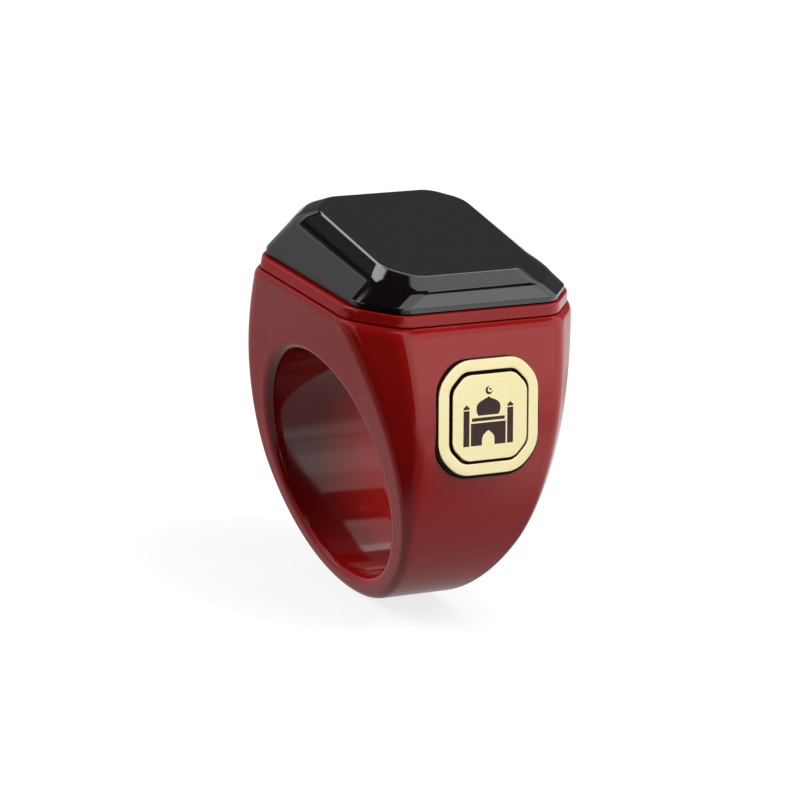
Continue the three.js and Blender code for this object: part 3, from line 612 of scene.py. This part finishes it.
dome = curvePoints([(0, 1.68), (0.2, 1.42), (1.18, 1.4), (1.19, 0.7)], 14)
dome += curvePoints([(1.19, 0.7), (1.19, 0.42), (1.1, 0.24), (1.0, 0.09)], 6)[1:]
gateArch = curvePoints([(0, -1.2), (0.22, -1.36), (0.62, -1.55), (0.63, -2.0)], 10)
gateArch.append((0.63, -2.46))
gate = [(-1.72, -2.46), (-1.72, -0.54), (1.72, -0.54), (1.72, -2.46)] + gateArch[::-1]
gate += [(-x, y) for x, y in gateArch[1:]]
tower = [(-0.29, -2.46), (0.29, -2.46), (0.29, 0.58), (-0.29, 0.58)]
towerCap = mirrored([
    (0, 1.12), (0.05, 1.02), (0.16, 0.93), (0.27, 0.85), (0.3, 0.77), (0.28, 0.68)])
pictogramShapes = [
    mirrored(dome),
    [(-1.62, -0.38), (1.62, -0.38), (1.62, -0.09), (-1.62, -0.09)],
    gate,
    crescentOutline((0.05, 2.18), 0.35, 0.25, 0.13, 35),
    arcPoints((0.17, 2.28), 0.1, 0, 330, 11),
]
for shift in (-pictogram["towerOffset"], pictogram["towerOffset"]):
    pictogramShapes += [[(x + shift, y) for x, y in outline] for outline in (tower, towerCap)]


def makePictogram():
    bm = bmesh.new()
    low = -button["recess"] - pictogram["sink"]
    high = -button["recess"] + pictogram["proud"]
    for outline in pictogramShapes:
        points = [(x + pictogram["shift"][0], y + pictogram["shift"][1]) for x, y in outline]
        bottom = [bm.verts.new((x, y, low)) for x, y in points]
        top = [bm.verts.new((x, y, high)) for x, y in points]
        bm.faces.new(bottom)
        bm.faces.new(top)
        for i in range(len(points)):
            j = (i + 1) % len(points)
            bm.faces.new((bottom[i], bottom[j], top[j], top[i]))
    bm.normal_update()
    bmesh.ops.triangulate(bm, faces=[f for f in bm.faces if len(f.verts) > 4])
    bmesh.ops.scale(bm, vec=(mm, mm, mm), verts=bm.verts)
    return makeObject("pictogram", bm)


pictogramInlay = makePictogram()
pictogramInlay.data.transform(buttonPlace @ capSettle)
print("button made")

# Node groups shared by the finishes

noiseBands = {"tone": (0.35, 0.65), "handled": (0.3, 0.75), "broken": (0.35, 0.6)}
# how the painted edge highlight is laid on convex edges
edgeSheen = {"convex": (0.52, 0.6), "noiseScale": 900.0, "least": 0.4, "strength": 0.6}


def rgb(r, g, b):
    return (r, g, b, 1)


def newGroup(name, inputs, outputs):
    tree = bpy.data.node_groups.new(name, "ShaderNodeTree")
    for label, kind, default in inputs:
        socket = tree.interface.new_socket(name=label, in_out="INPUT", socket_type=kind)
        socket.default_value = default
    for label, kind in outputs:
        tree.interface.new_socket(name=label, in_out="OUTPUT", socket_type=kind)
    return tree, tree.nodes.new("NodeGroupInput"), tree.nodes.new("NodeGroupOutput")


def feed(tree, socket, value):
    if isinstance(value, bpy.types.NodeSocket):
        tree.links.new(value, socket)
    else:
        socket.default_value = value


def addNode(tree, kind, settings=None, **inputs):
    node = tree.nodes.new(kind)
    for key, value in (settings or {}).items():
        setattr(node, key, value)
    for key, value in inputs.items():
        feed(tree, node.inputs[key.replace("_", " ")], value)
    return node


def addMath(tree, operation, *values):
    node = addNode(tree, "ShaderNodeMath", {"operation": operation})
    for socket, value in zip(node.inputs, values):
        feed(tree, socket, value)
    return node.outputs[0]


def mixColours(tree, share, first, second):
    mix = addNode(tree, "ShaderNodeMix", {"data_type": "RGBA"})
    for index, value in ((0, share), (6, first), (7, second)):  # its colour sockets are 6 and 7
        feed(tree, mix.inputs[index], value)
    return mix.outputs[2]


def noiseInto(tree, scale, detail, stretch=(1, 1, 1)):
    place = addNode(tree, "ShaderNodeTexCoord").outputs["Object"]
    stretched = addNode(tree, "ShaderNodeMapping", Vector=place, Scale=stretch)
    return addNode(tree, "ShaderNodeTexNoise", Vector=stretched.outputs["Vector"],
                   Scale=scale, Detail=detail).outputs["Fac"]


def remap(tree, value, low, high, toLow, toHigh, kind="LINEAR"):
    return addNode(tree, "ShaderNodeMapRange", {"interpolation_type": kind}, Value=value,
                   From_Min=low, From_Max=high, To_Min=toLow, To_Max=toHigh).outputs["Result"]


# two tones mixed by a slow noise
def makeToneGroup():
    tree, start, end = newGroup("toneDrift", [
        ("Tone", "NodeSocketColor", rgb(0.5, 0.5, 0.5)),
        ("Other Tone", "NodeSocketColor", rgb(0.4, 0.4, 0.4)),
        ("Scale", "NodeSocketFloat", 200),
    ], [("Color", "NodeSocketColor")])
    mask = remap(tree, noiseInto(tree, start.outputs["Scale"], 4), *noiseBands["tone"], 0, 1)
    tones = mixColours(tree, mask, start.outputs["Tone"], start.outputs["Other Tone"])
    tree.links.new(tones, end.inputs["Color"])
    return tree


# roughness between a clean and a handled value
def makeSmudgeGroup():
    tree, start, end = newGroup("handling", [
        ("Clean", "NodeSocketFloat", 0.1), ("Handled", "NodeSocketFloat", 0.2),
        ("Scale", "NodeSocketFloat", 300),
    ], [("Roughness", "NodeSocketFloat")])
    roughness = remap(tree, noiseInto(tree, start.outputs["Scale"], 6), *noiseBands["handled"],
                      start.outputs["Clean"], start.outputs["Handled"])
    tree.links.new(roughness, end.inputs["Roughness"])
    return tree


# fine relief for a Bump node, which may be drawn out along one way
def makeGrainGroup():
    tree, start, end = newGroup("fineGrain", [
        ("Scale", "NodeSocketFloat", 2000), ("Stretch", "NodeSocketVector", (1, 1, 1)),
    ], [("Height", "NodeSocketFloat")])
    grain = noiseInto(tree, start.outputs["Scale"], 3, start.outputs["Stretch"])
    tree.links.new(grain, end.inputs["Height"])
    return tree


# painted highlight: a mask of convex edges, broken up a little, for a lighter edge colour
def makeEdgeGroup():
    tree, start, end = newGroup("edgeShine", [("Strength", "NodeSocketFloat", 1.0)],
                                [("Mask", "NodeSocketFloat")])
    point = addNode(tree, "ShaderNodeNewGeometry").outputs["Pointiness"]
    edge = remap(tree, point, *edgeSheen["convex"], 0, 1)
    broken = remap(tree, noiseInto(tree, edgeSheen["noiseScale"], 3), *noiseBands["broken"],
                   edgeSheen["least"], 1)
    brokenSheen = addMath(tree, "MULTIPLY", edge, broken)
    tree.links.new(addMath(tree, "MULTIPLY", brokenSheen, start.outputs["Strength"]), end.inputs["Mask"])
    return tree


toneGroup = makeToneGroup()
smudgeGroup = makeSmudgeGroup()
grainGroup = makeGrainGroup()
edgeGroup = makeEdgeGroup()


def groupNode(tree, group, **inputs):
    node = tree.nodes.new("ShaderNodeGroup")
    node.node_tree = group
    for key, value in inputs.items():
        node.inputs[key.replace("_", " ")].default_value = value
    return node


# Finishes: one dictionary each


# the edge colour of a finish is a painted highlight on its convex edges
finishes = {
    "redLacquer": {
        "tone": rgb(0.225, 0.0045, 0.004), "otherTone": rgb(0.21, 0.004, 0.0035), "toneScale": 160,
        "clean": 0.055, "handled": 0.1, "smudgeScale": 260, "grainScale": 700, "relief": 0.0012,
        "edge": rgb(0.28, 0.014, 0.012), "wave": {"scale": 90, "relief": 0.02},
    },
    "pianoBlack": {
        "tone": rgb(0.003, 0.0012, 0.0018), "otherTone": rgb(0.0036, 0.0016, 0.0022),
        "toneScale": 120, "clean": 0.03, "handled": 0.06, "smudgeScale": 240, "grainScale": 600,
        "relief": 0.0006, "ior": 1.9, "wave": {"scale": 110, "relief": 0.05},
    },
    "satinGold": {
        "tone": rgb(1.0, 0.885, 0.54), "otherTone": rgb(0.97, 0.87, 0.48), "toneScale": 260,
        "clean": 0.2, "handled": 0.28, "smudgeScale": 500, "grainScale": 5200, "relief": 0.006,
        "metallic": 1.0, "edge": rgb(0.97, 0.88, 0.58),
    },
    # dark enamel for the pictogram inlay, also used as painted shade deep in the gap round the cap
    "enamelAndGapShade": {
        "tone": rgb(0.036, 0.021, 0.02), "otherTone": rgb(0.045, 0.027, 0.025), "toneScale": 900,
        "clean": 0.35, "handled": 0.45, "smudgeScale": 900, "grainScale": 4000, "relief": 0.004,
        "ior": 1.2,
    },
    "blackRubber": {
        "tone": rgb(0.006, 0.004, 0.004), "otherTone": rgb(0.01, 0.007, 0.007), "toneScale": 500,
        "clean": 0.7, "handled": 0.85, "smudgeScale": 800, "grainScale": 3500, "relief": 0.01,
        "ior": 1.2,
    },
    "panelGlass": {
        "tone": rgb(0.01, 0.012, 0.016), "otherTone": rgb(0.014, 0.016, 0.022), "toneScale": 200,
        "clean": 0.05, "handled": 0.1, "smudgeScale": 300, "grainScale": 900, "relief": 0.001,
    },
    "darkPlastic": {
        "tone": rgb(0.028, 0.028, 0.032), "otherTone": rgb(0.036, 0.036, 0.04), "toneScale": 400,
        "clean": 0.45, "handled": 0.6, "smudgeScale": 700, "grainScale": 3000, "relief": 0.012,
    },
    "solderMask": {
        "tone": rgb(0.01, 0.12, 0.04), "otherTone": rgb(0.012, 0.15, 0.05), "toneScale": 900,
        "clean": 0.3, "handled": 0.42, "smudgeScale": 900, "grainScale": 2600, "relief": 0.012,
    },
    "amberFilm": {
        "tone": rgb(0.45, 0.18, 0.03), "otherTone": rgb(0.4, 0.15, 0.025), "toneScale": 700,
        "clean": 0.25, "handled": 0.38, "smudgeScale": 600, "grainScale": 2600, "relief": 0.004,
        "stretch": (1, 8, 1),
    },
    "chipEpoxy": {
        "tone": rgb(0.018, 0.018, 0.02), "otherTone": rgb(0.026, 0.026, 0.028), "toneScale": 1200,
        "clean": 0.5, "handled": 0.65, "smudgeScale": 1200, "grainScale": 5000, "relief": 0.014,
    },
    "plainSteel": {
        "tone": rgb(0.6, 0.61, 0.63), "otherTone": rgb(0.54, 0.55, 0.57), "toneScale": 600,
        "clean": 0.24, "handled": 0.36, "smudgeScale": 900, "grainScale": 2600, "relief": 0.006,
        "metallic": 1.0, "stretch": (12, 1, 1),
    },
    "paleCeramic": {
        "tone": rgb(0.62, 0.56, 0.45), "otherTone": rgb(0.56, 0.5, 0.4), "toneScale": 1300,
        "clean": 0.5, "handled": 0.6, "smudgeScale": 900, "grainScale": 4200, "relief": 0.01,
    },
    "silverFoil": {
        "tone": rgb(0.62, 0.62, 0.64), "otherTone": rgb(0.56, 0.56, 0.59), "toneScale": 400,
        "clean": 0.3, "handled": 0.42, "smudgeScale": 700, "grainScale": 1500, "relief": 0.02,
        "metallic": 1.0,
    },
    "closedFoam": {
        "tone": rgb(0.035, 0.035, 0.04), "otherTone": rgb(0.05, 0.05, 0.055), "toneScale": 1600,
        "clean": 0.85, "handled": 0.95, "smudgeScale": 1600, "grainScale": 3600, "relief": 0.05,
    },
}


def addRelief(tree, scale, relief, stretch=(1, 1, 1)):
    grain = groupNode(tree, grainGroup, Scale=scale, Stretch=stretch)
    return addNode(tree, "ShaderNodeBump", Height=grain.outputs["Height"], Strength=1.0,
                   Distance=relief * mm)


def makeFinish(name, look):
    material = bpy.data.materials.new(name)
    material.use_nodes = True
    tree = material.node_tree
    shader = tree.nodes["Principled BSDF"]
    tone = groupNode(tree, toneGroup, Tone=look["tone"], Other_Tone=look["otherTone"],
                     Scale=look["toneScale"])
    colour = tone.outputs["Color"]
    # painted highlight: the lighter edge colour is mixed in on convex edges
    if "edge" in look:
        mask = groupNode(tree, edgeGroup, Strength=edgeSheen["strength"])
        colour = mixColours(tree, mask.outputs["Mask"], colour, look["edge"])
    tree.links.new(colour, shader.inputs["Base Color"])
    smudge = groupNode(tree, smudgeGroup, Clean=look["clean"], Handled=look["handled"],
                       Scale=look["smudgeScale"])
    tree.links.new(smudge.outputs["Roughness"], shader.inputs["Roughness"])
    bump = addRelief(tree, look["grainScale"], look["relief"], look.get("stretch", (1, 1, 1)))
    if "wave" in look:
        swell = addRelief(tree, look["wave"]["scale"], look["wave"]["relief"])
        tree.links.new(swell.outputs["Normal"], bump.inputs["Normal"])
    tree.links.new(bump.outputs["Normal"], shader.inputs["Normal"])
    shader.inputs["Metallic"].default_value = look.get("metallic", 0.0)
    shader.inputs["IOR"].default_value = look.get("ior", 1.5)
    return material


materials = {name: makeFinish(name, look) for name, look in finishes.items()}


def dress(obj, finish):
    obj.data.materials.clear()
    obj.data.materials.append(materials[finish])


# painted shade in the gap round the cap: all that lies deeper than the edges is coloured dark
def paintGapShade(piece):
    piece.data.materials.append(materials["enamelAndGapShade"])
    toButton = buttonPlace.inverted()
    gapDepth = (button["recess"] + button["gapShow"]) * mm
    for face in piece.data.polygons:
        face.material_index = 1 if (toButton @ face.center).z < -gapDepth else 0


slotFinish = {
    "red_shell": "redLacquer", "black_window": "pianoBlack", "gold": "satinGold",
    "black_rubber": "blackRubber", "panel_glass": "panelGlass", "dark_plastic": "darkPlastic",
    "board_green": "solderMask", "flex_amber": "amberFilm", "chip_black": "chipEpoxy",
    "steel": "plainSteel", "ceramic": "paleCeramic", "pouch_silver": "silverFoil",
    "foam": "closedFoam",
}
for subpart in frame["record"]["subparts"]:
    dress(frame["nodes"][subpart["node"]], slotFinish[subpart["material_slot"]])

for piece, finish, slotName, bodyName, node in (
    (ringBody, "redLacquer", "red_shell", "ring", "ring_body"),
    (rimFrame, "redLacquer", "red_shell", "ring", "rim_frame"),
    (displayWindow, "pianoBlack", "black_window", "ring", "display_window"),
    (bezel, "satinGold", "gold", "ring", "button_bezel"),
    (buttonCap, "satinGold", "gold", "button", "button_cap"),
    (pictogramInlay, "enamelAndGapShade", "dark_plastic", "button", None),
    # the black ring round the bezel is painted shade, given the black rubber finish
    (bezelShadeRing, "blackRubber", "black_rubber", "ring", None),
):
    dress(piece, finish)
    # painted shade: the deep faces of the bezel and cap get the dark finish
    if piece in (bezel, buttonCap):
        paintGapShade(piece)
    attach(piece, bodyName)
    if node:
        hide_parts(node)
print("finishes given")

# Floor, light and camera

stageLook = {
    "floorSize": 1.2, "floorTone": rgb(0.94, 0.94, 0.94), "shadowShare": 0.2, "worldFill": 0.62,
    "floorDrop": 0.02, "cardDrop": 0.01,
}
white = rgb(1, 1, 1)


def makeRectangle(name, halfX, halfY, z=0.0):
    bm = bmesh.new()
    bm.faces.new([bm.verts.new((x, y, z)) for x, y in (
        (-halfX, -halfY), (halfX, -halfY), (halfX, halfY), (-halfX, halfY))])
    return makeObject(name, bm, outward=False)


# a material with no shader yet, for the stage
def newStageMaterial(name):
    material = bpy.data.materials.new(name)
    material.use_nodes = True
    tree = material.node_tree
    tree.nodes.remove(tree.nodes["Principled BSDF"])
    return material, tree, tree.nodes["Material Output"]


def mixShaders(tree, share, first, second, output):
    mix = addNode(tree, "ShaderNodeMixShader")
    for socket, source in zip(mix.inputs, (share, first.outputs[0], second.outputs[0])):
        tree.links.new(source, socket)
    tree.links.new(mix.outputs[0], output.inputs["Surface"])


# 1 for the rays that see the white room itself
def seenBy(tree, *rays):
    path = addNode(tree, "ShaderNodeLightPath")
    seen = path.outputs[rays[0]]
    for ray in rays[1:]:
        seen = addMath(tree, "MAXIMUM", seen, path.outputs[ray])
    return seen


def makeFloor():
    half = stageLook["floorSize"] / 2
    floor = makeRectangle("floor", half, half, (body["bottom"] - stageLook["floorDrop"]) * mm)
    material, tree, output = newStageMaterial("floorPaper")
    paper = addNode(tree, "ShaderNodeBsdfDiffuse", Color=stageLook["floorTone"])
    glowing = addNode(tree, "ShaderNodeEmission", Color=white, Strength=1.0)
    seen = seenBy(tree, "Is Camera Ray", "Is Glossy Ray")
    share = addMath(tree, "MULTIPLY", seen, 1 - stageLook["shadowShare"])
    mixShaders(tree, share, paper, glowing, output)
    floor.data.materials.append(material)


def makeWorld():
    world = bpy.data.worlds.new("studio")
    bpy.context.scene.world = world
    world.use_nodes = True
    tree = world.node_tree
    tree.nodes.clear()
    seen = seenBy(tree, "Is Camera Ray", "Is Glossy Ray", "Is Transmission Ray")
    fill = addNode(tree, "ShaderNodeBackground", Color=white, Strength=stageLook["worldFill"])
    shown = addNode(tree, "ShaderNodeBackground", Color=white, Strength=1.0)
    mixShaders(tree, seen, fill, shown, addNode(tree, "ShaderNodeOutputWorld"))


def pointAt(azimuth, elevation, distance):
    level = distance * math.cos(math.radians(elevation))
    return Vector((level * math.cos(math.radians(azimuth)), level * math.sin(math.radians(azimuth)),
                   distance * math.sin(math.radians(elevation))))


# soft lamps that light the ring; what it mirrors are the cards below
lamps = {
    "softRight": {"azimuth": 46, "elevation": 60, "distance": 0.45, "size": 0.3, "power": 2.0},
    "lowRight": {"azimuth": 18, "elevation": 4, "distance": 0.45, "size": 0.1, "power": 1.1},
    "softLeft": {"azimuth": -136, "elevation": 22, "distance": 0.45, "size": 0.3, "power": 2.35},
}


def addLamp(name, look):
    lamp = bpy.data.lights.new(name, "AREA")
    lamp.shape = "SQUARE"
    lamp.size = look["size"]
    lamp.energy = look["power"]
    obj = bpy.data.objects.new(name, lamp)
    obj.location = pointAt(look["azimuth"], look["elevation"], look["distance"])
    obj.rotation_euler = obj.location.to_track_quat("Z", "Y").to_euler()
    obj.visible_glossy = False
    bpy.context.scene.collection.objects.link(obj)


# studio cards: glow is how bright each is, soft the share of its half width that fades out;
# those with a turn lie level, and without a height they lie on the table
cards = {
    "blackFlag": {"azimuth": -40, "elevation": 6, "distance": 0.33, "size": (0.38, 0.8),
                  "glow": 0.01, "soft": 0.12},
    "frontFlag": {"azimuth": -92, "elevation": 4, "distance": 0.4, "size": (0.52, 0.7),
                  "glow": 0.12, "soft": 0.9},
    "darkRoom": {"azimuth": -45, "elevation": 0, "distance": 0.3, "size": (0.84, 1.0),
                 "glow": 0.0, "soft": 0.05, "shades": True, "mirrored": False},
    "backShade": {"azimuth": 66, "elevation": 13, "distance": 0.32, "size": (0.5, 0.44),
                  "glow": 0.12, "soft": 0.2, "shades": True, "mirrored": False},
    "boreShade": {"place": (0.022, 0.047, None), "turn": 0, "size": (0.08, 0.075),
                  "glow": 0.08, "soft": 0.15, "lift": 0.01, "shades": True, "mirrored": False},
    "leftCard": {"azimuth": -160, "elevation": 6, "distance": 0.5, "size": (0.58, 0.66),
                 "glow": 0.42, "soft": 0.45},
    "backCard": {"azimuth": 138, "elevation": 12, "distance": 0.55, "size": (1.1, 0.9),
                 "glow": 0.145, "soft": 0.4},
    "backFlag": {"azimuth": 58, "elevation": 52, "distance": 0.4, "size": (0.3, 0.14),
                 "glow": 0.02, "soft": 0.2},
    "sideCard": {"azimuth": 31, "elevation": 18, "distance": 0.5, "size": (0.5, 0.24),
                 "glow": 1.4, "soft": 0.6},
    "ceiling": {"place": (-0.22, -0.1, 0.45), "turn": 0, "size": (0.78, 0.7),
                "glow": 0.02, "soft": 0.06},
    "topSoftbox": {"place": (-0.11, 0.175, 0.35), "turn": 0, "size": (0.18, 0.19),
                   "glow": 0.84, "soft": 0.2},
    "backSoftbox": {"place": (-0.3, 0.12, 0.35), "turn": 0, "size": (0.18, 0.14),
                    "glow": 3.0, "soft": 0.2},
    "edgeSoftbox": {"place": (-0.225, 0.245, 0.35), "turn": 0, "size": (0.12, 0.14),
                    "glow": 1.8, "soft": 0.4},
    "cornerSoftbox": {"place": (-0.225, -0.005, 0.35), "turn": 0, "size": (0.19, 0.13),
                      "glow": 2.6, "soft": 0.2},
    "bevelCard": {"place": (-0.34, -0.1, 0.36), "turn": 0, "size": (0.2, 0.2),
                  "glow": 0.12, "soft": 0.9},
    "frontSoftbox": {"place": (-0.15, -0.24, 0.35), "turn": 0, "size": (0.17, 0.17),
                     "glow": 2.0, "soft": 0.8},
    "tableDark": {"place": (0.0, -0.213, None), "turn": 20, "size": (0.7, 0.42),
                  "glow": 0.16, "soft": 0.08},
    "tableShade": {"place": (0.0, -0.213, None), "turn": 20, "size": (0.7, 0.42),
                   "glow": 0.22, "soft": 0.08, "shades": True, "mirrored": False},
    "tableBlack": {"place": (0.1135, -0.232, None), "turn": -12, "size": (0.29, 0.388),
                   "glow": 0.01, "soft": 0.06, "lift": 0.006},
    "tableRight": {"place": (0.214, 0.129, None), "turn": 31, "size": (0.42, 0.4),
                   "glow": 0.78, "soft": 0.5, "lift": 0.008},
    "tableLeft": {"place": (-0.2, -0.06, None), "turn": 0, "size": (0.37, 0.3),
                  "glow": 0.33, "soft": 0.15, "lift": 0.002},
    # tableNear is a painted shadow: a dim sheet the finishes mirror round the ring's foot, in place
    # of the floor's shade there
    "tableNear": {"place": (0.0, 0.0, None), "turn": 0, "size": (0.08, 0.07),
                  "glow": 0.42, "soft": 0.6, "lift": 0.004},
}


# shows its glow on the front only, and fades out towards its edges
def makeCardMaterial(name, glow, soft):
    material, tree, output = newStageMaterial(name)
    place = addNode(tree, "ShaderNodeTexCoord").outputs["Generated"]
    parts = addNode(tree, "ShaderNodeSeparateXYZ", Vector=place)
    fades = [remap(tree, addMath(tree, "PINGPONG", parts.outputs[axis], 0.5),
                   0.0, soft / 2, 0.0, 1.0, kind="SMOOTHSTEP") for axis in "XY"]
    fromBehind = addNode(tree, "ShaderNodeNewGeometry").outputs["Backfacing"]
    fromFront = addMath(tree, "SUBTRACT", 1.0, fromBehind)
    share = addMath(tree, "MULTIPLY", addMath(tree, "MULTIPLY", *fades), fromFront)
    clear = addNode(tree, "ShaderNodeBsdfTransparent")
    glowing = addNode(tree, "ShaderNodeEmission", Color=white, Strength=glow)
    mixShaders(tree, share, clear, glowing, output)
    return material


# a card that only the finishes mirror, or one that only keeps the room's light off
def addCard(name, look):
    if "place" in look:
        x, y, z = look["place"]
        turn = Matrix.Rotation(math.radians(look["turn"]), 4, "Z")
        if z is None:
            z = (body["bottom"] - stageLook["cardDrop"] + look.get("lift", 0)) * mm
        else:
            turn = turn @ Matrix.Rotation(halfTurn, 4, "X")  # overhead cards look down
        place = Vector((x, y, z))
    else:
        place = pointAt(look["azimuth"], look["elevation"], look["distance"])
        turn = (-place).to_track_quat("Z", "Y").to_matrix().to_4x4()
    card = makeRectangle(name, *(side / 2 for side in look["size"]))
    card.matrix_world = Matrix.Translation(place) @ turn
    card.data.materials.append(makeCardMaterial(name, look["glow"], look["soft"]))
    card.visible_camera = False
    card.visible_transmission = False
    card.visible_shadow = False
    card.visible_diffuse = look.get("shades", False)
    card.visible_glossy = look.get("mirrored", True)


makeFloor()
makeWorld()
for name, look in lamps.items():
    addLamp(name, look)
for name, look in cards.items():
    addCard(name, look)

view = {
    "azimuth": 57.0965, "elevation": 18.4914, "roll": 5.8017, "distance": 418.107,
    "pixelsPerMm": 11.5546, "centreX": 395.669, "centreY": 456.505, "imageSize": 800,
    "sensor": 36.0,
}


def makeCamera():
    azimuth, elevation, roll = (math.radians(view[key]) for key in ("azimuth", "elevation", "roll"))
    level = math.cos(elevation)
    back = Vector((math.sin(azimuth) * level, -math.cos(azimuth) * level, math.sin(elevation)))
    levelRight = Vector((math.cos(azimuth), math.sin(azimuth), 0))
    levelUp = back.cross(levelRight)
    right = levelRight * math.cos(roll) + levelUp * math.sin(roll)
    up = levelUp * math.cos(roll) - levelRight * math.sin(roll)
    middle = view["imageSize"] / 2
    shiftX = (view["centreX"] - middle) / view["pixelsPerMm"]
    shiftY = -(view["centreY"] - middle) / view["pixelsPerMm"]
    place = (back * view["distance"] - right * shiftX - up * shiftY) * mm
    lens = view["pixelsPerMm"] * view["distance"] / view["imageSize"] * view["sensor"]
    data = bpy.data.cameras.new("photoView")
    data.sensor_width = view["sensor"]
    data.lens = lens
    data.clip_start = 0.01
    camera = bpy.data.objects.new("photoView", data)
    camera.matrix_world = Matrix((
        (right.x, up.x, back.x, place.x),
        (right.y, up.y, back.y, place.y),
        (right.z, up.z, back.z, place.z),
        (0, 0, 0, 1),
    ))
    bpy.context.scene.collection.objects.link(camera)
    bpy.context.scene.camera = camera


makeCamera()
bpy.context.scene.view_settings.view_transform = "Standard"
print("stage set")
